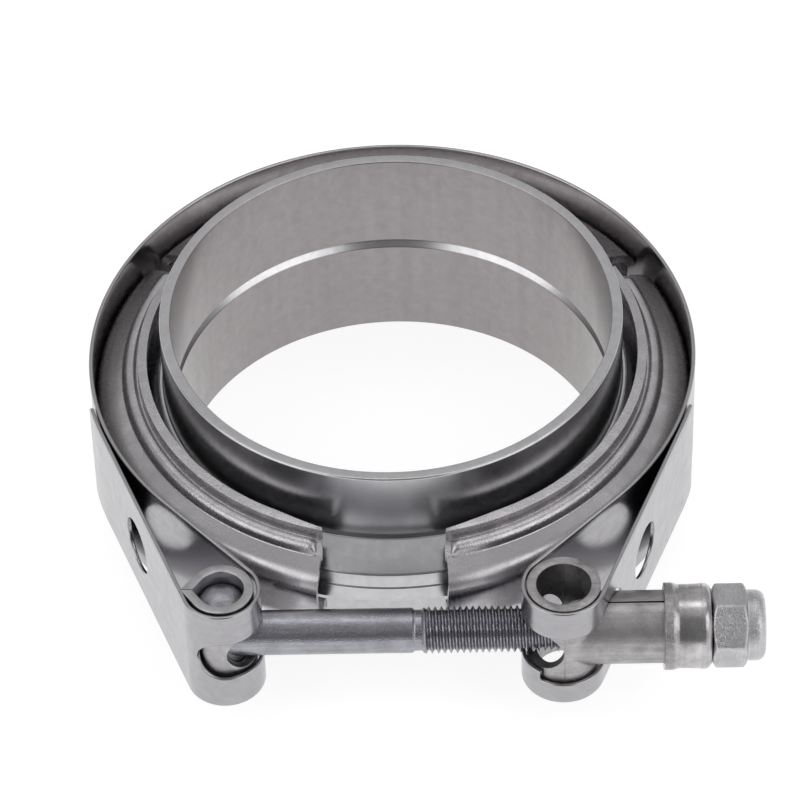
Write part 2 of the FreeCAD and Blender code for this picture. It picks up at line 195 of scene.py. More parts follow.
class TrunnionSizes(PropertyGroup):
    outer: length("Outer radius", "Radius of the tube and the barrel", 6.15)
    inner: length("Inner radius", "Radius inside the tube", 4.6)
    barrel_end: length("Barrel end", "Where the barrel ends along X", 51.5)
    seam: length("Seam", "Slit where the folded sheet's edges meet", 0.4)
    crease: length("Crease", "Rounding where the barrel leaves the tube", 0.45)
    hole_turn: angle("Hole turn", "Half the stretch of the bolt's hole before its round ends", 44)
    edge: length("Edge", "Rounding of the sheet's edges", 0.16)


class CollarSizes(PropertyGroup):
    inner: length("Inner radius", "Radius inside the cup", 6.35)
    body: length("Body radius", "Outer radius of the cup", 7.2)
    waist: length("Waist", "How far the cup draws in at its waist", 0.15)
    lip_rise: length("Lip rise", "How far the trimmed lip stands out", 0.15)
    lip_length: length("Lip length", "Length of the trimmed lip", 1.3)
    shoulder: length("Shoulder", "Outer rounding at the cup's floor", 1.25)
    floor: length("Floor", "Thickness of the cup's floor", 1.6)
    floor_hole: length("Floor hole", "Radius of the bolt's hole in the floor", 4.15)
    ragged: length("Ragged", "Unevenness of the trimmed lip", 0.16)


class NutSizes(PropertyGroup):
    across_flats: length("Across flats", "Width of the hexagon", 12.45)
    hexagon: length("Hexagon", "Length of the hexagon", 5.75)
    chamfer: angle("Corner chamfer", "Slope of the corner chamfers", 30)
    flat_turn: angle("Flat turn", "Direction of one flat above the front", 45)
    collar: length("Collar", "Radius of the turned collar", 5.95)
    collar_round: length("Collar round", "Rounding of the collar's end", 1.6)
    bore: length("Bore", "Radius of the nut's bore", 4.01)
    ring: length("Ring", "Outer radius of the nylon ring", 5.1)
    ring_length: length("Ring length", "Length of the nylon ring", 1.8)
    ring_lip: length("Ring lip", "Steel that holds the ring at the end", 0.7)
    softness: amount("Softness", "Sharpness of the hexagon's corners, as an exponent", 42)


class SteelColours(PropertyGroup):
    flange: steel_colour("Flange", "Turned flange steel", (0.56, 0.555, 0.57))
    retainer: steel_colour("Retainer", "Pressed retainer steel", (0.50, 0.485, 0.50))
    band: steel_colour("Band", "Rolled strip steel", (0.41, 0.402, 0.42))
    bolt: steel_colour("Bolt", "Forged bolt steel", (0.36, 0.36, 0.395))
    sleeve: steel_colour("Sleeve", "Rolled sleeve steel", (0.44, 0.43, 0.44))
    trunnion: steel_colour("Trunnion", "Folded trunnion steel", (0.41, 0.395, 0.40))
    collar: steel_colour("Collar", "Drawn collar steel", (0.49, 0.475, 0.48))
    nut: steel_colour("Nut", "Plated nut steel", (0.54, 0.535, 0.555))
    nylon: steel_colour("Nylon", "Moulded nylon", (0.78, 0.80, 0.76))


class StageSettings(PropertyGroup):
    elevation: angle("Camera elevation", "Height of the camera above level", 45.434)
    azimuth: angle("Camera azimuth", "Turn of the camera about the bore", 1.2)
    roll: angle("Camera roll", "Turn of the camera about its own view", -1.8)
    distance: length("Camera distance", "From the aim point to the camera", 842.91)
    aim: FloatVectorProperty(name="Aim", description="Point that the camera looks at",
                             default=(1.132 * MM, 0, -1.762 * MM), unit="LENGTH", precision=5)
    lens: amount("Lens", "Focal length on a 36 mm sensor", 215.47)
    floor_half: length("Floor half", "Half the floor's side", 3000)
    floor_colour: amount("Floor colour", "How much light the floor returns", 0.3)
    floor_glow: amount("Floor glow", "Light that the floor adds for the camera and reflections", 0.85)
    high_level: amount("High level", "Light of the surroundings overhead, where the horizon's is one", 0.62)
    front_level: amount("Front level", "Light of the dark stretch round the camera", 0.2)
    side_level: amount("Side level", "Light of the two soft boxes beside the camera", 1.8)
    strip_level: amount("Strip level", "Light of the strip overhead", 2.0)
    wing_level: amount("Wing level", "Light of the dim stretches to the left and right", 0.35)
    rear_level: amount("Rear level", "Light of the dim stretch behind the object", 0.5)


def unit(vector):
    """A vector scaled to length one."""
    return vector / np.linalg.norm(vector)


def rounded_line(corners, closed=False, steps=8):
    """Points of a line with round corners.

    A corner is (a, b, radius). Its arc touches both runs at radius / tan(half the corner's angle) from it,
    and a point on the arc turns evenly from one touching point to the other about the arc's centre.
    """
    places = np.array([corner[:2] for corner in corners], float)
    pieces = []
    for i, (_, _, radius) in enumerate(corners):
        place = places[i]
        if radius == 0 or (not closed and i in (0, len(corners) - 1)):
            pieces.append(place[None])
            continue
        back = unit(places[i - 1] - place)
        ahead = unit(places[(i + 1) % len(places)] - place)
        half = np.arccos(np.clip(back @ ahead, -1, 1)) / 2
        centre = place + unit(back + ahead) * radius / np.sin(half)
        turn = np.pi - 2 * half
        share = np.linspace(0, 1, steps + 1)[:, None]
        first = place + back * radius / np.tan(half) - centre
        last = place + ahead * radius / np.tan(half) - centre
        arc_points = (np.sin((1 - share) * turn) * first + np.sin(share * turn) * last) / np.sin(turn)
        pieces.append(centre + arc_points)
    line = np.concatenate(pieces)
    return np.concatenate([line, line[:1]]) if closed else line


def subdivided(line, spacing):
    """The same line with points no further apart than a spacing, at even steps along each long run."""
    runs = np.linalg.norm(np.diff(line, axis=0), axis=1)
    counts = np.maximum(1, np.ceil(runs / spacing).astype(int))
    start = np.repeat(np.arange(len(runs)), counts)
    share = (np.arange(len(start)) - np.repeat(np.cumsum(counts) - counts, counts)) / counts[start]
    points = line[start] + (line[start + 1] - line[start]) * share[:, None]
    return np.concatenate([points, line[-1:]])


def about_z(line, turns, centre=(0, 0)):
    """Turn a line of (radius, z) about an upright axis: x = radius cos turn, y = radius sin turn."""
    radius, height = line[:, :1], line[:, 1:]
    return np.stack([centre[0] + radius * np.cos(turns), centre[1] + radius * np.sin(turns),
                     height + 0 * turns], axis=-1)


def about_bolt(along, radius, turns):
    """Turn a line about the T-bolt: x = along, y = radius cos turn from its axis, z = radius sin turn."""
    radius = radius + 0 * turns
    return np.stack([along + 0 * radius, bolt_y + radius * np.cos(turns), radius * np.sin(turns)], axis=-1)


def full_turn(segments):
    """Angles once round, with the last equal to the first."""
    return np.linspace(0, 2 * np.pi, segments + 1)[None]


def grid_mesh(grid):
    """Points and four-sided faces of a grid."""
    rows, columns = grid.shape[:2]
    index = np.arange(rows * columns).reshape(rows, columns)
    faces = np.stack([index[:-1, :-1], index[1:, :-1], index[1:, 1:], index[:-1, 1:]], axis=-1)
    return grid.reshape(-1, 3), faces.reshape(-1, 4)


def joined(meshes):
    """Several meshes as one."""
    points, faces, count = [], [], 0
    for some_points, some_faces in meshes:
        points.append(some_points)
        faces.append(some_faces + count)
        count += len(some_points)
    return np.concatenate(points), np.concatenate(faces)


def welded(points, faces):
    """Points that lie within a micrometre become one. The third value says which points stay."""
    keys = np.round(points / (MM / 1000)).astype(np.int64)
    _, kept, place = np.unique(keys, axis=0, return_index=True, return_inverse=True)
    return points[kept], place.reshape(-1)[faces], kept


def thick_wall(outers, inners):
    """A closed wall between matching outer and inner grids, with a rim along every open edge.

    An edge is open where only one face uses it: its rim is the face between it and its match inside.
    """
    points, faces = joined([grid_mesh(grid) for grid in outers])
    inside = np.concatenate([grid.reshape(-1, 3) for grid in inners])
    points, faces, kept = welded(points, faces)
    inside = inside[kept]
    count = len(points)
    edges = np.stack([faces, np.roll(faces, -1, axis=1)], axis=2).reshape(-1, 2)
    edges = edges[edges[:, 0] != edges[:, 1]]
    forward = edges[:, 0] * count + edges[:, 1]
    backward = edges[:, 1] * count + edges[:, 0]
    rim = edges[~np.isin(forward, backward)]
    sides = np.stack([rim[:, 1], rim[:, 0], rim[:, 0] + count, rim[:, 1] + count], axis=1)
    return np.concatenate([points, inside]), np.concatenate([faces, faces[:, ::-1] + count, sides])


def upright_wall(outer, inner, lows, high, edge, end_thin=0):
    """Matching outer and inner grids of a strip that stands on edge, above z = 0 and below it.

    Each column's height runs from the opening's half height to the strip's half width. At both its rims
    follow a quarter circle: at a swing from level, the wall thins by edge (1 - cos swing) and stops edge
    (1 - sin swing) short. Towards a free end it thins by a chamfer.
    """
    thickness = np.linalg.norm(outer - inner, axis=1)
    share = np.linspace(0, 1, WALL_ROWS)[:, None]
    swing = np.radians(EDGE_SWINGS)[:, None]
    short, cut = 1 - np.sin(swing), 1 - np.cos(swing)
    outers, inners = [], []
    for side, low in zip((1, -1), lows):
        low_edge = np.minimum(edge, low)
        middle = (low + low_edge) * (1 - share) + (high - edge) * share
        height = np.concatenate([low + low_edge * short, middle, (high - edge * short)[::-1]])
        thin = np.concatenate([low_edge * cut, 0 * middle, (edge * cut + 0 * high)[::-1]])
        thin = (np.maximum(thin, end_thin) / thickness)[..., None]
        for faces, near, far in ((outers, outer, inner), (inners, inner, outer)):
            flat = near * (1 - thin) + far * thin
            grid = np.concatenate([flat, side * height[..., None]], axis=-1)
            faces.append(grid[::side])
    return outers, inners


def spread(place, *others, count):
    """Evenly spread shares along a dense line, where steps in the other values count as length too."""
    step = sum(np.abs(np.diff(value)) for value in (place, *others))
    run = np.concatenate([[0], np.cumsum(step)])
    return np.interp(np.linspace(0, run[-1], count), run, np.arange(len(run)))


def sampled(values, index):
    """Values of a dense line at fractional places along it."""
    whole = np.minimum(index.astype(int), len(values) - 2)
    share = (index - whole).reshape(-1, *[1] * (values.ndim - 1))
    return values[whole] * (1 - share) + values[whole + 1] * share


def add_piece(name, mesh_data, material, body=None, node=(), sharp=35):
    """A closed, smooth-shaded piece that rides on a body and stands for its nodes."""
    points, faces, _ = welded(*mesh_data)
    own = faces != np.roll(faces, 1, axis=1)
    corners = own.sum(axis=1)
    quads = faces[corners == 4]
    triangles = faces[corners == 3][own[corners == 3]].reshape(-1, 3)
    mesh = bpy.data.meshes.new(name)
    mesh.from_pydata(points.tolist(), [], quads.tolist() + triangles.tolist())
    shape = bmesh.new()
    shape.from_mesh(mesh)
    bmesh.ops.recalc_face_normals(shape, faces=shape.faces)
    shape.to_mesh(mesh)
    shape.free()
    mesh.shade_smooth()
    mesh.set_sharp_from_angle(angle=math.radians(sharp))
    mesh.materials.append(material)
    piece = bpy.data.objects.new(name, mesh)
    bpy.context.scene.collection.objects.link(piece)
    if body:
        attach(piece, body)
    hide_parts(*node)
    return piece


def put(tree, kind, inputs=(), **settings):
    """Add a shader node: a value goes on its socket and a socket is linked to it."""
    added = tree.nodes.new(kind)
    for key, value in settings.items():
        setattr(added, key, value)
    for key, value in dict(inputs).items():
        if isinstance(value, bpy.types.NodeSocket):
            tree.links.new(value, added.inputs[key])
        else:
            added.inputs[key].default_value = value
    return added


def sums(tree, operation, *values):
    """The result of a math node."""
    return put(tree, "ShaderNodeMath", enumerate(values), operation=operation).outputs[0]


def remapped(tree, value, low, high, to_low, to_high, kind="LINEAR"):
    """A value moved from one range to another and held inside it."""
    return put(tree, "ShaderNodeMapRange", {0: value, 1: low, 2: high, 3: to_low, 4: to_high},
               interpolation_type=kind).outputs[0]


def noise(tree, place, **inputs):
    """A noise pattern's value."""
    return put(tree, "ShaderNodeTexNoise", {"Vector": place, **inputs}).outputs[0]


def vector(tree, *parts):
    """A vector from its parts."""
    return put(tree, "ShaderNodeCombineXYZ", enumerate(parts)).outputs[0]


def split(tree, place):
    """A place's three parts, and its distance from the Z axis."""
    parts = put(tree, "ShaderNodeSeparateXYZ", {0: place}).outputs
    flat = vector(tree, parts[0], parts[1])
    return parts, put(tree, "ShaderNodeVectorMath", {0: flat}, operation="LENGTH").outputs["Value"]


def dot(tree, first, second):
    """The dot product of two vectors."""
    return put(tree, "ShaderNodeVectorMath", {0: first, 1: second}, operation="DOT_PRODUCT").outputs["Value"]


def mixed(tree, share, first, second, kind="MIX"):
    """Two colours mixed by a share."""
    return put(tree, "ShaderNodeMix", {0: share, 6: first, 7: second}, data_type="RGBA",
               blend_type=kind).outputs[2]


def scaled_colour(colour, gain):
    """A colour made lighter or darker, with its alpha."""
    return (*[min(1, part * gain) for part in colour], 1)


def new_material(name):
    """A material, its node tree and its shader."""
    material = bpy.data.materials.new(name)
    material.use_nodes = True
    return material, material.node_tree, material.node_tree.nodes["Principled BSDF"]


def effect(name, inputs, outputs, build):
    """A shader node group, made once: build fills it in and returns its output sockets in order.

    An input whose default is None is a vector, and any other is a number.
    """
    found = bpy.data.node_groups.get(name)
    if found:
        return found
    group = bpy.data.node_groups.new(name, "ShaderNodeTree")
    for label, value in inputs.items():
        kind = "NodeSocketVector" if value is None else "NodeSocketFloat"
        socket = group.interface.new_socket(name=label, in_out="INPUT", socket_type=kind)
        if value is not None:
            socket.default_value = value
    for label in outputs:
        group.interface.new_socket(name=label, in_out="OUTPUT", socket_type="NodeSocketFloat")
    entry = group.nodes.new("NodeGroupInput")
    leaving = group.nodes.new("NodeGroupOutput")
    for label, result in zip(outputs, build(group, entry.outputs)):
        group.links.new(result, leaving.inputs[label])
    return group


def steel_grain():
    """Fine grain and broad blotches: two noises, the second eleven times as coarse."""
    def build(tree, given):
        size = sums(tree, "DIVIDE", 1, given["Size"])
        place = put(tree, "ShaderNodeVectorMath", {0: given["Vector"], "Scale": size},
                    operation="SCALE").outputs[0]
        return (noise(tree, place, Scale=1, Detail=3, Roughness=0.6),
                noise(tree, place, Scale=0.09, Detail=3, Distortion=0.6))
    return effect("Steel grain", {"Vector": None, "Size": 0.3 * MM}, ["Grain", "Blotches"], build)


def turning_marks():
    """Rings left by a turning tool: noise of the distance from Z and the height along it only."""
    def build(tree, given):
        parts, radius = split(tree, given["Vector"])
        ring = vector(tree, *(sums(tree, "DIVIDE", part, given["Spacing"]) for part in (radius, parts[2])))
        return noise(tree, ring, Scale=1, Detail=2),
    return effect("Turning marks", {"Vector": None, "Spacing": 0.3 * MM}, ["Marks"], build)


def drawn_streaks():
    """Streaks of rolled or drawn metal: noise whose features have one size across XY and another along Z."""
    def build(tree, given):
        parts = put(tree, "ShaderNodeSeparateXYZ", {0: given["Vector"]}).outputs
        features = given["Level size"], given["Level size"], given["Upright size"]
        place = vector(tree, *(sums(tree, "DIVIDE", part, size) for part, size in zip(parts, features)))
        return noise(tree, place, Scale=1, Detail=3, Roughness=0.55),
    return effect("Drawn streaks", {"Vector": None, "Level size": 12 * MM, "Upright size": 0.4 * MM},
                  ["Streaks"], build)


def edge_wear_and_highlight():
    """Worn edges and painted highlight: how far a rounded normal turns from the surface's own, broken up by
    the grain.
    """
    def build(tree, given):
        own = tree.nodes.new("ShaderNodeNewGeometry").outputs["Normal"]
        rounded = put(tree, "ShaderNodeBevel", {"Radius": given["Reach"]}, samples=4).outputs[0]
        turned = remapped(tree, dot(tree, own, rounded), 0.97, 0.8, 0, 1)
        return sums(tree, "MULTIPLY", turned, remapped(tree, given["Grain"], 0.3, 0.6, 0.5, 1)),
    return effect("Edge wear and painted highlight", {"Reach": 0.2 * MM, "Grain": 0.5}, ["Wear"], build)


def finished_steel(name, colour, rough, grain_size, grain_depth, marks=None, mark_size=(), mark_depth=0.0,
                   blotch=0.25, rough_spread=0.16, wear_and_highlight=0.35, on_bolt=False, grainy_zone=None, shaded=None):
    """A steel finish: grain, tool marks and blotches shift its colour and roughness and raise its surface.

    The grain and the marks are bump heights in metres. Where a rounded normal turns from the surface's own,
    the colour goes towards a brighter copy: worn edges and a painted highlight. grainy_zone is a (start, end)
    pair of distances from the axis between which the grain fades out. The last argument is (start, end, tint,
    after): up to the start distance from the axis the colour is multiplied by the tint, which fades out by
    the end, and only past a place along the axis. On the flanges this is painted shade in the bore, on the
    band a painted reflection on its inner face, and on the bolt's thread and the collar's lip a darker tone
    of the metal. The axis is the bore's, or else the bolt's.
    """
    material, tree, shader = new_material(name)
    place = tree.nodes.new("ShaderNodeTexCoord").outputs["Object"]
    on_axis = place
    if on_bolt:
        for key, value in (("Location", (0, -bolt_y, 0)), ("Rotation", (0, -math.pi / 2, 0))):
            on_axis = put(tree, "ShaderNodeMapping", {"Vector": on_axis, key: value}).outputs[0]
    parts, radius = split(tree, on_axis)
    fine, broad = put(tree, "ShaderNodeGroup", {"Vector": place, "Size": grain_size},
                      node_tree=steel_grain()).outputs
    depth = grain_depth
    if grainy_zone:
        depth = remapped(tree, radius, *grainy_zone, grain_depth, grain_depth * 0.12)
    height = sums(tree, "MULTIPLY", fine, depth)
    tone = sums(tree, "MULTIPLY_ADD", broad, BROAD_SHARE, sums(tree, "MULTIPLY", fine, 1 - BROAD_SHARE))
    if marks:
        pattern = put(tree, "ShaderNodeGroup", {"Vector": on_axis, **dict(mark_size)},
                      node_tree=marks()).outputs[0]
        height = sums(tree, "MULTIPLY_ADD", pattern, mark_depth, height)
        tone = sums(tree, "MULTIPLY_ADD", pattern, MARK_SHARE, sums(tree, "MULTIPLY", tone, 1 - MARK_SHARE))
    # Worn edges and painted highlight: the colour goes towards a copy 1.45 times as bright where a rounded
    # normal turns.
    worn_and_highlit = put(tree, "ShaderNodeGroup", {"Grain": fine}, node_tree=edge_wear_and_highlight()).outputs[0]
    result = mixed(tree, remapped(tree, tone, 0.36, 0.64, 0, 1), scaled_colour(colour, 1 - blotch),
                   scaled_colour(colour, 1 + 0.6 * blotch))
    result = mixed(tree, sums(tree, "MULTIPLY", worn_and_highlit, wear_and_highlight), result, scaled_colour(colour, 1.45))
    # Tint by distance from the axis: painted shade in the flanges' bore, a painted reflection on the band's
    # inner face, and a darker tone of the metal on the bolt's thread and the collar's lip.
    if shaded:
        near, far, tint, after = shaded
        cover = sums(tree, "MULTIPLY", remapped(tree, radius, near, far, 1, 0),
                     sums(tree, "GREATER_THAN", parts[2], after))
        result = mixed(tree, cover, result, (*tint, 1), "MULTIPLY")
    tree.links.new(result, shader.inputs["Base Color"])
    roughness = remapped(tree, tone, 0.3, 0.7, rough + rough_spread / 2, rough - rough_spread / 2)
    tree.links.new(roughness, shader.inputs["Roughness"])
    shader.inputs["Metallic"].default_value = 1.0
    bump = put(tree, "ShaderNodeBump", {"Height": height, "Distance": 1.0, "Strength": 1.0})
    tree.links.new(bump.outputs[0], shader.inputs["Normal"])
    return material


def nylon_finish(colour):
    """Moulded nylon: pale, softly shiny and very finely grained."""
    material, tree, shader = new_material("Moulded nylon")
    place = tree.nodes.new("ShaderNodeTexCoord").outputs["Object"]
    fine, broad = put(tree, "ShaderNodeGroup", {"Vector": place}, node_tree=steel_grain()).outputs
    result = mixed(tree, broad, scaled_colour(colour, 0.9), scaled_colour(colour, 1))
    tree.links.new(result, shader.inputs["Base Color"])
    tree.links.new(remapped(tree, fine, 0.3, 0.7, 0.38, 0.5), shader.inputs["Roughness"])
    shader.inputs["Subsurface Weight"].default_value = 0.1
    return material


def flange_profile(sizes, groove):
    """Closed half section of a flange as (radius, z), from its joint face at z = 0 to the neck's end."""
    neck = bore_radius + sizes.neck_wall
    rim = flange_high.x
    top = flange_high.z
    bevel_end = neck + sizes.relief_width
    bevel_top = sizes.rim_edge + (rim - bevel_end) * math.tan(sizes.bevel_angle)
    relief = bevel_top - sizes.relief_depth
    gap = sizes.register_gap if groove else 0
    level = sizes.register_height + gap if groove else -sizes.register_height
    inner = sizes.register_radius - gap
    outer = sizes.register_radius + sizes.register_width + gap
    small = sizes.edge_break / 5
    return rounded_line([
        (bore_radius + sizes.bore_chamfer, 0, small),
        (inner, 0, small),
        (inner, level, small),
        (outer, level, small),
        (outer, 0, small),
        (rim, 0, sizes.edge_break),
        (rim, sizes.rim_edge, sizes.bevel_round),
        (bevel_end, bevel_top, small),
        (bevel_end, relief, 2 * small),
        (neck, relief, 4 * small),
        (neck, top, sizes.edge_break),
        (bore_radius, top, sizes.edge_break / 2),
        (bore_radius, sizes.bore_chamfer, small),
    ], closed=True)


class CLAMP_OT_flanges(Operator):
    """Turn the two pipe flanges about the bore, each from one closed section."""
    bl_idname = "clamp.flanges"
    bl_label = "Flanges"

    def execute(self, context):
        sizes = context.scene.clamp_flange
        steel = finished_steel(
            "Turned flange steel", context.scene.clamp_colours.flange,
            rough=0.24, rough_spread=0.05, grain_size=0.16 * MM, grain_depth=0.0015 * MM, blotch=0.09,
            wear_and_highlight=0.6, marks=drawn_streaks, mark_depth=0.004 * MM,
            mark_size={"Level size": 2.2 * MM, "Upright size": 35 * MM},
            # Painted shade: the bore's wall is darker and warmer.
            shaded=(bore_radius + 0.04 * MM, bore_radius + 0.14 * MM, (0.60, 0.57, 0.56), -1))
        turns = full_turn(sizes.segments)
        for node, body, up in (("upper_flange", "upper", 1), ("lower_flange", "base", -1)):
            section = flange_profile(sizes, up == 1) * (1, up)
            add_piece(node + "_turned", grid_mesh(about_z(section, turns)), steel, body, [node])
        return {"FINISHED"}


def retainer_section(sizes):
    """Matching (radius, z) lines of a retainer: visible side, the same without beads, and hidden side.

    The line runs from the upper lip's top down the lip, through a groove, over the bead, down to the
    sloping leg, round the shoulder to the middle of the wall, and on in mirror image. Without its bead it
    slopes evenly from the groove to the leg, and the hidden side lies one sheet's thickness inside that.
    """
    flange = bpy.context.scene.clamp_flange
    neck = bore_radius + flange.neck_wall
    rim = flange_high.x
    lip = neck + sizes.lip_gap + sizes.sheet
    wall = rim + sizes.wall_inset
    slope = sizes.leg_angle

    def leg(radius):
        return (flange.rim_edge + (sizes.seat_clearance + sizes.sheet) / math.cos(slope)
                + (rim - radius) * math.tan(slope) + sizes.leg_lift)
    start = lip + 2 * sizes.bead_gap
    end = start + sizes.bead_width - sizes.bead_gap
    foot = end + sizes.bead_splay
    groove = sizes.bead_height - sizes.groove_depth
    line = rounded_line([
        (lip, sizes.lip_height - sizes.lip_fall, 0),
        (lip, groove, sizes.crease / 2),
        (lip + sizes.bead_gap, groove, sizes.crease / 2),
        (start, sizes.bead_height, sizes.crease),
        (end, sizes.bead_height, sizes.bead_round),
        (foot, leg(foot), sizes.crease),
        (wall, leg(wall), sizes.shoulder),
        (wall, 0, 0),
    ])
    line = subdivided(line, 0.45 * MM)
    fade = foot + 2 * sizes.bead_splay
    on_bead = (line[:, 0] > lip + MM / 50) & (line[:, 0] < fade)
    flat = line.copy()
    flat[on_bead, 1] = np.interp(line[on_bead, 0], [lip, fade], [groove - sizes.groove_depth / 4, leg(fade)])
    both = [np.concatenate([part, part[-2::-1] * (1, -1)]) for part in (line, flat)]
    step = np.gradient(both[1], axis=0)
    normal = np.stack([-step[:, 1], step[:, 0]], axis=1) / np.linalg.norm(step, axis=1)[:, None]
    mean = np.full(5, 1 / 5)
    smooth = np.stack([np.convolve(np.pad(part, 2, "edge"), mean, "valid") for part in normal.T], axis=1)
    hidden = both[1] - sizes.sheet * smooth / np.linalg.norm(smooth, axis=1)[:, None]
    hidden[[0, -1], 1] = sizes.lip_height, -sizes.lip_height
    return both[0], both[1], hidden


def cut_offset(radius, lip_radius, skew):
    """Angle by which an upright cut through the lip, turned by a skew, runs on at a larger radius."""
    aside = lip_radius * math.sin(skew)
    along = np.sqrt(np.maximum(radius ** 2 - aside ** 2, 0)) - lip_radius * math.cos(skew)
    return np.arctan2(along * math.sin(skew), lip_radius + along * math.cos(skew))


def retainer_mesh(sizes, ends, skews, seed):
    """One retainer: its section swept about the bore between two skewed cuts.

    Columns crowd towards both ends. The bead's height follows a quarter circle to zero near each end, the
    lip's hidden side moves outwards near a skewed end, and each cut wavers by a sum of sines of the
    section's place.
    """
    visible, plain, hidden = retainer_section(sizes)
    lip_radius = hidden[0, 0]
    share = np.linspace(0, 1, RETAINER_COLUMNS)
    share = (share - CROWDING * np.sin(2 * np.pi * share) / (2 * np.pi))[None]
    rows = np.arange(len(visible))[:, None]
    phase = np.random.default_rng(seed).uniform(0, 2 * np.pi, 6)
    waver = sum(np.sin(rows * 0.11 * order + phase[order - 1]) / order for order in (1, 2, 3))
    waver = waver * sizes.cut_waver / lip_radius
    grids = []
    for line in (visible, hidden):
        radius = line[:, :1]
        first = math.radians(ends[0]) - cut_offset(radius, lip_radius, math.radians(skews[0])) + waver
        last = math.radians(ends[1]) + cut_offset(radius, lip_radius, math.radians(skews[1])) + waver
        grids.append(first + (last - first) * share)
    turn, hidden_turn = grids
    from_first = (turn - turn[:, :1]) * lip_radius
    from_last = (turn[:, -1:] - turn) * lip_radius
    near = np.clip((np.minimum(from_first, from_last) - sizes.bead_stop) / sizes.bead_run, 0, 1)
    rise = np.sqrt(1 - (1 - near) ** 2)
    height = plain[:, 1:] + (visible - plain)[:, 1:] * rise
    radius = visible[:, :1] + 0 * turn
    outer = np.stack([radius * np.cos(turn), radius * np.sin(turn), height], axis=-1)
    lip_share = np.clip((np.abs(hidden[:, 1:]) - 0.6 * sizes.lip_height) / (0.3 * sizes.lip_height), 0, 1)
    narrow = 0
    for distance, skew in ((from_first, skews[0]), (from_last, skews[1])):
        if skew:
            narrow = narrow + np.clip(1 - distance / (sizes.taper_angle * lip_radius), 0, 1) ** 1.4
    hidden_radius = hidden[:, :1] + sizes.taper * lip_share * narrow
    hidden_radius = hidden_radius + 0 * hidden_turn
    inner = np.stack([hidden_radius * np.cos(hidden_turn), hidden_radius * np.sin(hidden_turn),
                      hidden[:, 1:] + 0 * hidden_turn], axis=-1)
    return thick_wall([outer], [inner])


class CLAMP_OT_retainers(Operator):
    """Press the three V retainers, with their lips, beads and sheared ends."""
    bl_idname = "clamp.retainers"
    bl_label = "Retainers"

    def execute(self, context):
        sizes = context.scene.clamp_retainer
        steel = finished_steel(
            "Pressed retainer steel", context.scene.clamp_colours.retainer,
            rough=0.27, rough_spread=0.1, grain_size=0.3 * MM, grain_depth=0.06 * MM, blotch=0.13, wear_and_highlight=0.6,
            grainy_zone=(46.8 * MM, 47.3 * MM))
        skew = math.degrees(sizes.end_skew)
        plan = (
            ("retainer_rear", "rear", (33.7, 143.4), (0, 0)),
            ("retainer_left", "left_arm", (148.9, 254.4), (0, skew)),
            ("retainer_right", "right_arm", (-78.2, 26.8), (skew, 0)),
        )
        for seed, (node, body, ends, skews) in enumerate(plan):
            piece = add_piece(node + "_pressed", retainer_mesh(sizes, ends, skews, seed), steel, body, [node],
                              sharp=50)
            bevel = piece.modifiers.new("Rounded edges", "BEVEL")
            bevel.width = sizes.edge
            bevel.segments = 3
            bevel.limit_method = "ANGLE"
            bevel.angle_limit = math.radians(50)
        return {"FINISHED"}


def arc(centre, radius, start, end, spacing):
    """Evenly spaced points of an arc about a centre."""
    count = max(3, int(abs(end - start) * radius / spacing))
    turn = np.linspace(start, end, count)
    return np.stack([centre[0] + radius * np.cos(turn), centre[1] + radius * np.sin(turn)], axis=1)


def drilled(points, centre, radius, direction):
    """Half height of a round hole drilled level from a centre: its chord at each point's side distance."""
    toward = np.array([math.cos(direction), math.sin(direction)])
    offset = points - centre
    side = offset[:, 0] * toward[1] - offset[:, 1] * toward[0]
    inside = (offset @ toward > 0) & (np.abs(side) < radius)
    return np.where(inside, np.sqrt(np.maximum(radius ** 2 - side ** 2, 0)), 0)


def sector(points, centre, half, start, end, reach):
    """A constant half height between two directions from a centre, within a reach."""
    offset = points - centre
    bearing = np.arctan2(offset[:, 1], offset[:, 0])
    inside = (bearing >= start) & (bearing <= end) & (np.linalg.norm(offset, axis=1) < reach)
    return np.where(inside, half, 0)


def weld_spots(radius, inner, outer, bearing, side):
    """Two pins between the band and its lapped tail, above and below the bolt's level.

    Each is a closed cylinder along the bearing's direction: at a turn, cos turn of its radius runs level
    across that direction and sin turn of it upwards.
    """
    line = np.array([(0, inner), (radius, inner), (radius, outer), (0, outer)])
    turn = full_turn(32)
    radial = line[:, 1:] + 0 * turn
    across = line[:, :1] * np.cos(turn)
    x = radial * math.cos(bearing) - across * math.sin(bearing)
    y = radial * math.sin(bearing) + across * math.cos(bearing)
    return [grid_mesh(np.stack([x * side, y, height + line[:, :1] * np.sin(turn)], axis=-1))
            for height in (band_high.z / 2, -band_high.z / 2)]


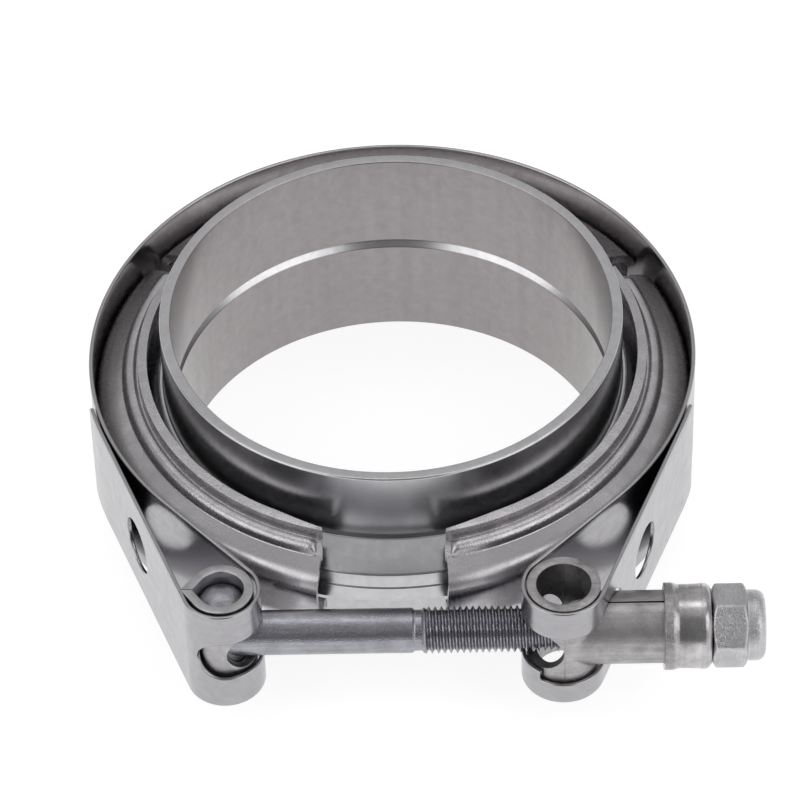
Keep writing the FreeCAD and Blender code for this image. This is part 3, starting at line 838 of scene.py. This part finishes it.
def arm_mesh(sizes, loop, lap, hole_run, mirror):
    """The left arm's strip, from the middle of the rear to its lapped tail, or its mirror image.

    Its middle line is an arc about the bore, a straight run, the loop's arc, the straight tail and an arc
    that laps the band. Each half of the strip starts at the largest of the openings cut there, and ends at
    half the strip's width, less at the tail's round corners. The right loop's window is deeper below the
    bolt.
    """
    half = sizes.sheet / 2
    outer_radius = band_high.y
    middle = outer_radius - half
    pivot = np.array([-sizes.pivot_x, bolt_y])
    span = np.linalg.norm(pivot)
    bearing = math.atan2(pivot[1], pivot[0]) + 2 * math.pi
    leave = bearing - math.acos((middle + loop) / span)
    lap_radius = outer_radius + sizes.lap_gap + half
    touch = bearing - math.acos((lap_radius - loop) / span)
    fine = 0.04 * MM
    ring = arc((0, 0), middle, math.pi / 2, leave, fine)
    bend = arc(pivot, loop, leave - math.pi, touch - 2 * math.pi, fine)
    tail = arc((0, 0), lap_radius, touch, touch - lap, fine)
    run_in = ring[-1] + (bend[0] - ring[-1]) * np.linspace(0, 1, 400)[1:-1, None]
    run_out = bend[-1] + (tail[0] - bend[-1]) * np.linspace(0, 1, 1200)[1:-1, None]
    line = np.concatenate([ring, run_in, bend, run_out, tail])
    step = np.gradient(line, axis=0)
    normal = np.stack([step[:, 1], -step[:, 0]], axis=1) / np.linalg.norm(step, axis=1)[:, None]
    place = np.concatenate([[0], np.cumsum(np.linalg.norm(np.diff(line, axis=0), axis=1))])
    loop_end = place[len(ring) + len(run_in) + len(bend) - 1]
    reach = loop + 2 * sizes.sheet
    if mirror:
        cuts = [
            drilled(line, pivot, sizes.right_slot, 0) * (np.linalg.norm(line - pivot, axis=1) < reach),
            sector(line, pivot, sizes.right_slot, -math.pi, 0, reach + sizes.sheet),
            drilled(line, pivot, sizes.window, math.pi) * (np.linalg.norm(line - pivot, axis=1) < 2 * reach),
        ]
        below = [sector(line, pivot, sizes.window, -math.pi, sizes.window_start, reach + sizes.sheet)]
    else:
        cuts = [
            drilled(line, pivot, sizes.left_slot, 0),
            drilled(line, pivot, sizes.left_slot, sizes.left_slot_end),
            sector(line, pivot, sizes.left_slot, sizes.left_slot_end, 0, reach),
        ]
        cuts = [cut * (np.linalg.norm(line - pivot, axis=1) < reach) for cut in cuts]
        below = []
    on_tail = np.arange(len(line)) > len(ring) + len(run_in) + len(bend)
    hole = np.sqrt(np.maximum(sizes.tail_hole ** 2 - (place - loop_end - hole_run) ** 2, 0)) * on_tail
    low = np.max([*cuts, hole], axis=0)
    lower = np.max([low, *below], axis=0)
    from_end = place[-1] - place
    corner = np.clip(sizes.tail_corner - from_end, 0, sizes.tail_corner)
    high = band_high.z - sizes.tail_corner + np.sqrt(np.maximum(sizes.tail_corner ** 2 - corner ** 2, 0))
    index = spread(place, low, lower, high, count=760)
    line, normal, low, lower, high, from_end = (sampled(v, index)
                                                for v in (line, normal, low, lower, high, from_end))
    end_thin = np.clip(sizes.edge - from_end, 0, sizes.edge)
    side = np.array([-1, 1]) if mirror else np.array([1, 1])
    outers, inners = upright_wall((line + normal * half) * side, (line - normal * half) * side,
                                  (low, lower), high, sizes.edge, end_thin=end_thin)
    strip = thick_wall(outers, inners)
    return joined([strip, *weld_spots(sizes.spot, middle, lap_radius, touch - lap / 2, side[0])])


class CLAMP_OT_band(Operator):
    """Fold the band: each half runs from the middle of the rear to its loop and its lapped tail."""
    bl_idname = "clamp.band"
    bl_label = "Band"

    def execute(self, context):
        sizes = context.scene.clamp_band
        steel = finished_steel(
            "Rolled band steel", context.scene.clamp_colours.band,
            rough=0.22, rough_spread=0.08, grain_size=0.22 * MM, grain_depth=0.006 * MM, blotch=0.1,
            wear_and_highlight=0.6, marks=drawn_streaks, mark_depth=0.008 * MM,
            mark_size={"Level size": 9 * MM, "Upright size": 0.35 * MM},
            # Painted reflection: the band's inner face is lighter and warmer.
            shaded=(52.2 * MM, 52.5 * MM, (1.24, 1.21, 1.15), -1))
        plan = (
            ("band_left_half", "left_arm", ["band_left"], -1,
             (sizes.left_loop, sizes.left_lap, sizes.left_hole_run)),
            ("band_right_half", "right_arm", ["band_right", "band_rear"], 1,
             (sizes.right_loop, sizes.right_lap, sizes.right_hole_run)),
        )
        for name, arm, nodes, side, arm_sizes in plan:
            strip = arm_mesh(sizes, *arm_sizes, side == 1)
            piece = add_piece(name, strip, steel, None, nodes)
            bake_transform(piece)
        return {"FINISHED"}


def thread_radius(sizes, along, turns):
    """Radius of the T-bolt's stem: shank, relief and a right-handed thread.

    The thread's place in its pitch is x / pitch - turn / full turn. Its distance from the crest, from 0 to 1,
    is flat for the first eighth and past three quarters, and straight between, which cuts the flanks.
    """
    place = (along / sizes.pitch - turns / (2 * np.pi)) % 1
    from_crest = np.abs(2 * place - 1)
    cut = np.clip((from_crest - 0.125) / 0.625, 0, 1)
    start, end = sizes.thread_start, bolt_high.x
    run_in = np.clip((along - start) / (1.2 * sizes.pitch), 0, 1)
    threaded = sizes.thread - sizes.depth * cut * run_in
    cone = sizes.thread - sizes.relief
    places = [sizes.relief_start, sizes.relief_start + sizes.shank - sizes.relief, start, start + cone,
              end - sizes.end_chamfer, end]
    envelope = np.interp(along, places, [sizes.shank, sizes.relief, sizes.relief, sizes.thread, sizes.thread,
                                         sizes.thread - sizes.end_chamfer])
    return np.minimum(envelope, np.where(along > start, threaded, sizes.shank))


class CLAMP_OT_bolt(Operator):
    """Make the T-bolt: a domed cross pin, a plain shank and a rolled right-handed thread."""
    bl_idname = "clamp.bolt"
    bl_label = "T-bolt"

    def execute(self, context):
        sizes = context.scene.clamp_bolt
        pivot_x = -context.scene.clamp_band.pivot_x
        steel = finished_steel(
            "Forged bolt steel", context.scene.clamp_colours.bolt, on_bolt=True,
            rough=0.25, rough_spread=0.14, grain_size=0.28 * MM, grain_depth=0.06 * MM, blotch=0.22, wear_and_highlight=1.0,
            marks=drawn_streaks, mark_depth=0.006 * MM,
            mark_size={"Level size": 0.5 * MM, "Upright size": 12 * MM},
            # The thread is darker below its crests, for oxide and oil in it.
            shaded=(3.4 * MM, 3.84 * MM, (0.66, 0.66, 0.66), sizes.thread_start + 0.4 * MM))
        half = bolt_high.z
        dome = (sizes.shank ** 2 + sizes.pin_dome ** 2) / (2 * sizes.pin_dome)
        reach = math.asin(sizes.shank / dome)
        swing = np.linspace(0, reach, 14)
        cap = np.stack([dome * np.sin(swing), half - dome + dome * np.cos(swing)], axis=1)
        pin = np.concatenate([cap, cap[::-1] * (1, -1)])
        turns = full_turn(BOLT_SEGMENTS)
        pin_mesh = grid_mesh(about_z(pin, turns, (pivot_x, bolt_y)))
        rows = np.concatenate([
            np.linspace(pivot_x, sizes.relief_start, 30),
            np.linspace(sizes.relief_start, sizes.thread_start, 8)[1:],
            np.arange(sizes.thread_start, bolt_high.x, sizes.pitch / 12)[1:],
            [bolt_high.x],
        ])[:, None]
        radius = thread_radius(sizes, rows, turns)
        rows = np.concatenate([rows[:1], rows, rows[-1:]])
        radius = np.pad(radius, ((1, 1), (0, 0)))
        stem_mesh = grid_mesh(about_bolt(rows, radius, turns))
        add_piece("t_bolt_forged", joined([pin_mesh, stem_mesh]), steel, "bolt", ["t_bolt"],
                  sharp=42)
        return {"FINISHED"}


def teardrop(radius, apex, split, centre, count=420):
    """Half-open teardrop: an arc round +X whose ends run straight to a point out at -X, less a split."""
    half = math.acos(radius / apex)
    turn = np.linspace(-math.pi + half, math.pi - half, count)
    round_part = np.stack([radius * np.cos(turn), radius * np.sin(turn)], axis=1)
    share = np.linspace(0, 1, 8)[1:, None]
    top = round_part[-1] + (np.array([-apex, split / 2]) - round_part[-1]) * share
    low = top * (1, -1)
    return np.concatenate([low[::-1], round_part, top]) + centre


class CLAMP_OT_sleeve(Operator):
    """Roll the split sleeve that sits round the cross pin in the left loop."""
    bl_idname = "clamp.sleeve"
    bl_label = "Sleeve"

    def execute(self, context):
        sizes = context.scene.clamp_bolt
        centre = np.array([-context.scene.clamp_band.pivot_x, bolt_y])
        steel = finished_steel("Rolled sleeve steel", context.scene.clamp_colours.sleeve,
                               rough=0.34, grain_size=0.22 * MM, grain_depth=0.012 * MM, blotch=0.2, wear_and_highlight=0.5)
        inner_radius = sizes.shank + sizes.sleeve_gap
        outer_radius = inner_radius + sizes.sleeve_wall
        apex = outer_radius + sizes.sleeve_apex
        outer = teardrop(outer_radius, apex, sizes.sleeve_split, centre)
        inner = teardrop(inner_radius, apex * inner_radius / outer_radius, sizes.sleeve_split, centre)
        low = np.max([drilled(outer, centre, sizes.sleeve_hole, 0),
                      drilled(outer, centre, sizes.sleeve_hole, sizes.sleeve_slot),
                      sector(outer, centre, sizes.sleeve_hole, sizes.sleeve_slot, 0, 1)], axis=0)
        high = np.full(len(low), band_high.z)
        walls = upright_wall(outer, inner, (low, low), high, sizes.sleeve_edge)
        add_piece("bolt_sleeve_rolled", thick_wall(*walls), steel, "bolt", ["bolt_sleeve"])
        return {"FINISHED"}


def trunnion_grids(sizes, radius):
    """Grids of one side of the folded sheet, at a radius from the tube's axis and the barrel's.

    In each upright plane beside the bolt's, at a distance y = radius sin side, both round walls stand at
    c = radius cos side. The front sheet comes down the tube at x = c to z = c, turns through a small arc and
    runs along the barrel at z = c to its end. The slit between its edges opens from the tube to the barrel.
    The back sheet is the tube's far half, from the bolt's hole up.
    """
    top = band_high.z
    end = sizes.barrel_end - bpy.context.scene.clamp_band.pivot_x
    down = np.concatenate([[0, sizes.edge / top], np.linspace(sizes.edge / top, 1, 12)[1:]])[:, None]
    grids = []
    swing = np.linspace(0, np.pi / 2, 7)[1:, None]
    run = np.concatenate([np.linspace(0, 1 - sizes.edge / end, 12)[1:], [1]])[:, None]
    opened = np.concatenate([0.2 + 0 * down, 0.2 + 0.4 * swing / swing[-1], np.minimum(0.6 + run, 1)])
    slit = np.arcsin(opened * sizes.seam / 2 / radius)
    tube, bend, barrel = np.split(np.arange(len(opened)), [len(down), len(down) + len(swing)])
    for sign in (-1, 1):
        share = np.linspace(0, 1, 48)[None]
        side = sign * (slit + (np.pi / 2 - slit) * share)[:, ::sign]
        across = radius * np.sin(side)
        reach = np.maximum(radius * np.cos(side), 0)
        crease = np.minimum(sizes.crease, reach * 0.5)
        x = reach.copy()
        z = reach.copy()
        z[tube] = top + ((reach + crease)[tube] - top) * down
        x[bend] += crease[bend] * (1 - np.cos(swing))
        z[bend] += crease[bend] * (1 - np.sin(swing))
        x[barrel] += crease[barrel] + (end - (reach + crease)[barrel]) * run
        grids.append(np.stack([x, across, z], axis=-1))
    swing = np.linspace(np.pi / 2, 3 * np.pi / 2, 2000)
    beyond = np.maximum(np.abs(swing - np.pi) - sizes.hole_turn, 0)
    hole = sizes.outer * math.sin(math.pi / 2 - sizes.hole_turn)
    low = np.sqrt(np.maximum(hole ** 2 - (sizes.outer * np.sin(beyond)) ** 2, 0))
    low[[0, -1]] = 0
    index = spread(swing * sizes.outer, low, count=110)
    swing, low = sampled(swing, index)[None], sampled(low, index)[None]
    z = top + (low - top) * down
    x, y = (radius * part + 0 * z for part in (np.cos(swing), np.sin(swing)))
    grids.append(np.stack([x, y, z], axis=-1)[:, ::-1])
    return grids


def trunnion_mesh(sizes):
    """The folded sheet between its outer and inner grids, above the bolt's level and mirrored below it."""
    centre = np.array([bpy.context.scene.clamp_band.pivot_x, bolt_y, 0])
    outers, inners = [], []
    share = sizes.edge / (sizes.outer - sizes.inner)
    pairs = zip(trunnion_grids(sizes, sizes.outer), trunnion_grids(sizes, sizes.inner))
    for number, (outer, inner) in enumerate(pairs):
        thin = np.zeros(outer.shape[:2] + (1,))
        thin[0] = share
        if number < 2:
            thin[-1] = share
        near, far = outer * (1 - thin) + inner * thin, inner * (1 - thin) + outer * thin
        for side in (1, -1):
            outers.append((near * (1, 1, side))[::side] + centre)
            inners.append((far * (1, 1, side))[::side] + centre)
    return thick_wall(outers, inners)


class CLAMP_OT_trunnion(Operator):
    """Fold the trunnion: one sheet that is a tube in the right loop and a barrel along the bolt."""
    bl_idname = "clamp.trunnion"
    bl_label = "Trunnion"

    def execute(self, context):
        sizes = context.scene.clamp_trunnion
        steel = finished_steel(
            "Folded trunnion steel", context.scene.clamp_colours.trunnion, on_bolt=True,
            rough=0.38, grain_size=0.3 * MM, grain_depth=0.06 * MM, blotch=0.34, wear_and_highlight=0.7,
            marks=drawn_streaks, mark_depth=0.012 * MM,
            mark_size={"Level size": 0.8 * MM, "Upright size": 14 * MM})
        add_piece("trunnion_folded", trunnion_mesh(sizes), steel, "trunnion", ["trunnion"])
        return {"FINISHED"}


def waves(turns, count, seed):
    """A ragged value round a circle: a sum of sines, weaker with rising frequency, at fixed phases."""
    draw = np.random.default_rng(seed)
    order = draw.integers(3, 40, count)[:, None, None]
    phase = draw.uniform(0, 2 * np.pi, count)[:, None, None]
    return (np.sin(order * turns + phase) / np.sqrt(order)).sum(axis=0) / np.sqrt(count)


class CLAMP_OT_collar(Operator):
    """Draw the cup collar: a waisted cup over the barrel's end, with a ragged trimmed lip."""
    bl_idname = "clamp.collar"
    bl_label = "Cup collar"

    def execute(self, context):
        sizes = context.scene.clamp_collar
        lip = sizes.body + sizes.lip_rise
        steel = finished_steel(
            "Drawn collar steel", context.scene.clamp_colours.collar, on_bolt=True,
            rough=0.24, rough_spread=0.2, grain_size=0.35 * MM, grain_depth=0.14 * MM, blotch=0.4, wear_and_highlight=0.7,
            marks=turning_marks, mark_size={"Spacing": 1.1 * MM}, mark_depth=0.02 * MM,
            grainy_zone=(7.3 * MM, 7.18 * MM),
            # The trimmed lip is darker than the cup's body.
            shaded=(lip - 0.02 * MM, sizes.body + 0.03 * MM, (0.72, 0.70, 0.70), -1))
        start, end = cup_low.x, cup_high.x
        line = rounded_line([
            (start, sizes.inner, 0.1 * MM),
            (start, lip, 0.2 * MM),
            (start + sizes.lip_length, lip, 0.3 * MM),
            (start + 1.8 * sizes.lip_length, sizes.body - sizes.waist, 1.2 * MM),
            (end - 3 * sizes.shoulder, sizes.body - sizes.waist, 3 * MM),
            (end - 1.2 * sizes.shoulder, sizes.body, 0.8 * MM),
            (end, sizes.body, sizes.shoulder),
            (end, sizes.floor_hole, 0.2 * MM),
            (end - sizes.floor, sizes.floor_hole, 0.1 * MM),
            (end - sizes.floor, sizes.inner, 0.3 * MM),
        ], closed=True)
        line = subdivided(line, 0.3 * MM)
        turns = full_turn(240)
        along, radius = line[:, :1], line[:, 1:]
        lip_share = np.clip(1 - (along - start) / sizes.lip_length, 0, 1) * (radius > sizes.inner + 0.2 * MM)
        ragged = np.sin(along / MM * 3.1) * waves(turns, 18, 4) + waves(turns, 30, 7)
        along = along + sizes.ragged * (waves(turns, 24, 5) - 0.6) * lip_share
        lip_end = start + 1.35 * sizes.lip_length
        outward = np.clip((lip_end - along) / (0.3 * MM), 0, 1) * (radius > sizes.body)
        radius = radius + 0.4 * sizes.ragged * (ragged - 0.4) * outward
        add_piece("cup_collar_drawn", grid_mesh(about_bolt(along, radius, turns)), steel, "cup",
                  ["cup_collar"], sharp=40)
        return {"FINISHED"}


def nut_grid(sizes, turns):
    """Grid of the lock nut's whole surface: its face, the hexagon, the collar and back through the bore.

    On the hexagon the radius is a soft smallest value of the six flats' distance / cos(angle from the flat)
    and of the two corner cones: the sum of their inverse powers, to the inverse of that power.
    """
    start, end = nut_low.x, nut_high.x
    flat = sizes.across_flats / 2
    power = sizes.softness
    hex_end = start + sizes.hexagon
    face_turn = math.pi - sizes.flat_turn
    facing = (turns - face_turn + np.pi / 6) % (np.pi / 3) - np.pi / 6
    side = flat / np.cos(facing)
    next_side = flat / np.cos(np.pi / 3 - np.abs(facing))
    drop = math.tan(sizes.chamfer)
    rim_share = 0.165
    rim = np.linspace(0, rim_share, 10)[:, None]
    middle = np.linspace(rim_share, 1 - rim_share, 14)[1:-1, None]
    place = np.concatenate([rim, middle, 1 - rim[::-1]])
    along = start + sizes.hexagon * place
    cone_in = flat + (along - start) / drop
    cone_out = flat + (hex_end - along) / drop
    body = sum(value ** -power for value in (side, next_side, cone_in, cone_out)) ** (-1 / power)
    tail = rounded_line([
        (hex_end, sizes.collar, 0),
        (end, sizes.collar, sizes.collar_round),
        (end, sizes.bore, 0.15 * MM),
        (end - sizes.ring_lip, sizes.bore, 0),
        (end - sizes.ring_lip, sizes.ring, 0),
        (end - sizes.ring_lip - sizes.ring_length, sizes.ring, 0),
        (end - sizes.ring_lip - sizes.ring_length, sizes.bore, 0),
        (start, sizes.bore, 0.3 * MM),
        (start, flat * 0.97, 0),
    ])
    groove = rounded_line([(hex_end, flat * 0.985, 0), (hex_end + 0.05 * MM, sizes.collar, 0)])
    tail_along, tail_radius = tail[:, :1], tail[:, 1:]
    along = np.concatenate([along, groove[:, :1], tail_along[1:], along[:1]]) + 0 * turns
    radius = np.concatenate([body, groove[:, 1:] + 0 * turns, tail_radius[1:] + 0 * turns, body[:1]])
    return about_bolt(along, radius, turns)


class CLAMP_OT_nut(Operator):
    """Make the hexagon lock nut with its turned collar, and the nylon ring inside the collar."""
    bl_idname = "clamp.nut"
    bl_label = "Lock nut"

    def execute(self, context):
        sizes = context.scene.clamp_nut
        colours = context.scene.clamp_colours
        steel = finished_steel(
            "Plated nut steel", colours.nut, on_bolt=True,
            rough=0.28, grain_size=0.34 * MM, grain_depth=0.12 * MM, blotch=0.22, wear_and_highlight=0.9,
            marks=turning_marks, mark_size={"Spacing": 0.3 * MM}, mark_depth=0.004 * MM)
        add_piece("lock_nut_plated", grid_mesh(nut_grid(sizes, full_turn(360))), steel, "nut", ["lock_nut"],
                  sharp=50)
        end = nut_high.x - sizes.ring_lip
        line = rounded_line([(end - sizes.ring_length, sizes.bore, 0.1 * MM),
                             (end - sizes.ring_length, sizes.ring, 0.1 * MM),
                             (end, sizes.ring, 0.1 * MM), (end, sizes.bore, 0.3 * MM)], closed=True)
        ring = grid_mesh(about_bolt(line[:, :1], line[:, 1:], full_turn(96)))
        add_piece("nylon_ring_moulded", ring, nylon_finish(colours.nylon), "nut", ["nylon_ring"])
        return {"FINISHED"}


def floor_finish(settings):
    """White floor: partly lit and partly glowing, so that it reads white and keeps a faint shadow."""
    material, tree, shader = new_material("White floor")
    tree.nodes.remove(shader)
    lit = put(tree, "ShaderNodeBsdfDiffuse", {"Color": (*[settings.floor_colour] * 3, 1)})
    path = tree.nodes.new("ShaderNodeLightPath").outputs
    mirrored = sums(tree, "MAXIMUM", path["Is Glossy Ray"], path["Is Transmission Ray"])
    seen = sums(tree, "MAXIMUM", path["Is Camera Ray"], mirrored)
    strength = sums(tree, "MULTIPLY", seen, settings.floor_glow)
    glow = put(tree, "ShaderNodeEmission", {"Color": (1, 1, 1, 1), "Strength": strength})
    both = put(tree, "ShaderNodeAddShader", {0: lit.outputs[0], 1: glow.outputs[0]})
    tree.links.new(both.outputs[0], tree.nodes["Material Output"].inputs["Surface"])
    return material


def floor_piece(half, height, material):
    """A square floor at a height, with its material. A square floor, left out of the
    object.
    """
    mesh = bpy.data.meshes.new("floor")
    mesh.from_pydata([(x * half, y * half, height) for x, y in ((-1, -1), (1, -1), (1, 1), (-1, 1))], [],
                     [(0, 1, 2, 3)])
    mesh.materials.append(material)
    piece = bpy.data.objects.new("floor", mesh)
    bpy.context.scene.collection.objects.link(piece)


def camera_matrix(settings):
    """Place of the camera: back from the aim point at its elevation, rolled about its view, then turned."""
    elevation, roll = settings.elevation, settings.roll
    back = Vector((0, -math.cos(elevation), math.sin(elevation)))
    level = Vector((1, 0, 0))
    rise = Vector((0, math.sin(elevation), math.cos(elevation)))
    right = math.cos(roll) * level + math.sin(roll) * rise
    up = -math.sin(roll) * level + math.cos(roll) * rise
    place = Vector(settings.aim) + settings.distance * back
    posed = Matrix([[right[i], up[i], back[i], place[i]] for i in range(3)] + [[0, 0, 0, 1]])
    return Matrix.Rotation(settings.azimuth, 4, "Z") @ posed


def window(tree, direction, azimuth, elevation, width, height):
    """Cover of a soft-edged oval in the surroundings: its place and its half width and height in degrees.

    With a and b the direction's sideways and upward parts as seen from the oval's middle, each over the sine
    of that half, the cover falls from one to zero while a squared plus b squared goes from 0.7 to 1.25.
    """
    azimuth, elevation, width, height = (math.radians(v) for v in (azimuth, elevation, width, height))
    side = (math.cos(azimuth), math.sin(azimuth), 0)
    level, high = math.cos(elevation), math.sin(elevation)
    toward = (math.sin(azimuth) * level, -math.cos(azimuth) * level, high)
    rise = (-math.sin(azimuth) * high, math.cos(azimuth) * high, level)
    parts = []
    for axis, half in ((side, width), (rise, height)):
        scaled = sums(tree, "DIVIDE", dot(tree, direction, axis), math.sin(half))
        parts.append(sums(tree, "MULTIPLY", scaled, scaled))
    cover = remapped(tree, sums(tree, "ADD", *parts), 1.25, 0.7, 0, 1, "SMOOTHSTEP")
    return sums(tree, "MULTIPLY", cover, sums(tree, "GREATER_THAN", dot(tree, direction, toward), 0))


def studio_world(settings):
    """White surroundings, dimmer overhead, with darker and brighter ovals for the studio's lamps and gaps.

    Each oval is given by its azimuth and elevation, its half width and half height in degrees, and its light:
    the dark stretch round the camera, the rear, the two wings, the two soft boxes and the strip overhead.
    """
    world = bpy.data.worlds.new("Studio")
    world.use_nodes = True
    bpy.context.scene.world = world
    tree = world.node_tree
    direction = tree.nodes.new("ShaderNodeTexCoord").outputs["Generated"]
    rise = put(tree, "ShaderNodeSeparateXYZ", {0: direction}).outputs[2]
    level = remapped(tree, rise, 0.05, 0.75, 1.0, settings.high_level, "SMOOTHSTEP")
    for azimuth, elevation, width, height, light in (
        (0, 33, 28, 43, settings.front_level),
        (180, 16, 60, 24, settings.rear_level),
        (-100, 40, 18, 38, settings.wing_level),
        (100, 40, 18, 38, settings.wing_level),
        (-60, 42, 25, 19, settings.side_level),
        (60, 42, 25, 19, settings.side_level),
        (0, 109, 31, 7, settings.strip_level),
    ):
        cover = window(tree, direction, azimuth, elevation, width, height)
        level = put(tree, "ShaderNodeMix", {0: cover, 2: level, 3: light}).outputs[0]
    camera = tree.nodes.new("ShaderNodeLightPath").outputs["Is Camera Ray"]
    tree.links.new(sums(tree, "MAXIMUM", level, camera), tree.nodes["Background"].inputs["Strength"])
    tree.nodes["Background"].inputs["Color"].default_value = (1, 1, 1, 1)


class CLAMP_OT_stage(Operator):
    """Set the stage: a white floor, the surroundings and the camera."""
    bl_idname = "clamp.stage"
    bl_label = "Stage"

    def execute(self, context):
        settings = context.scene.clamp_stage
        floor_piece(settings.floor_half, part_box("lower_flange")[0].z, floor_finish(settings))
        camera = bpy.data.cameras.new("camera")
        camera.lens = settings.lens
        camera.sensor_width = 36
        camera.sensor_fit = "HORIZONTAL"
        holder = bpy.data.objects.new("camera", camera)
        holder.matrix_world = camera_matrix(settings)
        context.scene.collection.objects.link(holder)
        context.scene.camera = holder
        studio_world(settings)
        context.scene.view_settings.view_transform = "Standard"
        return {"FINISHED"}


SETTINGS = {
    "clamp_flange": FlangeSizes,
    "clamp_retainer": RetainerSizes,
    "clamp_band": BandSizes,
    "clamp_bolt": BoltSizes,
    "clamp_trunnion": TrunnionSizes,
    "clamp_collar": CollarSizes,
    "clamp_nut": NutSizes,
    "clamp_colours": SteelColours,
    "clamp_stage": StageSettings,
}
BUILDERS = (CLAMP_OT_flanges, CLAMP_OT_retainers, CLAMP_OT_band, CLAMP_OT_bolt, CLAMP_OT_sleeve,
            CLAMP_OT_trunnion, CLAMP_OT_collar, CLAMP_OT_nut, CLAMP_OT_stage)


class CLAMP_PT_sidebar(Panel):
    """Lists the clamp's builders and their settings."""
    bl_idname = "CLAMP_PT_sidebar"
    bl_label = "V-Band Clamp"
    bl_space_type = "VIEW_3D"
    bl_region_type = "UI"
    bl_category = "V-Band Clamp"

    def draw(self, context):
        for builder in BUILDERS:
            self.layout.operator(builder.bl_idname)
        for name, group in SETTINGS.items():
            box = self.layout.box()
            for key in group.__annotations__:
                box.prop(getattr(context.scene, name), key)


def register():
    for group in (*SETTINGS.values(), *BUILDERS, CLAMP_PT_sidebar):
        bpy.utils.register_class(group)
    for name, group in SETTINGS.items():
        setattr(bpy.types.Scene, name, PointerProperty(type=group))


def unregister():
    for name in SETTINGS:
        delattr(bpy.types.Scene, name)
    for group in (CLAMP_PT_sidebar, *reversed(BUILDERS), *reversed(list(SETTINGS.values()))):
        bpy.utils.unregister_class(group)


def main():
    """Register the clamp, and build every piece and the stage."""
    register()
    for builder in BUILDERS:
        family, action = builder.bl_idname.split(".")
        getattr(getattr(bpy.ops, family), action)()


if __name__ == "__main__":
    main()
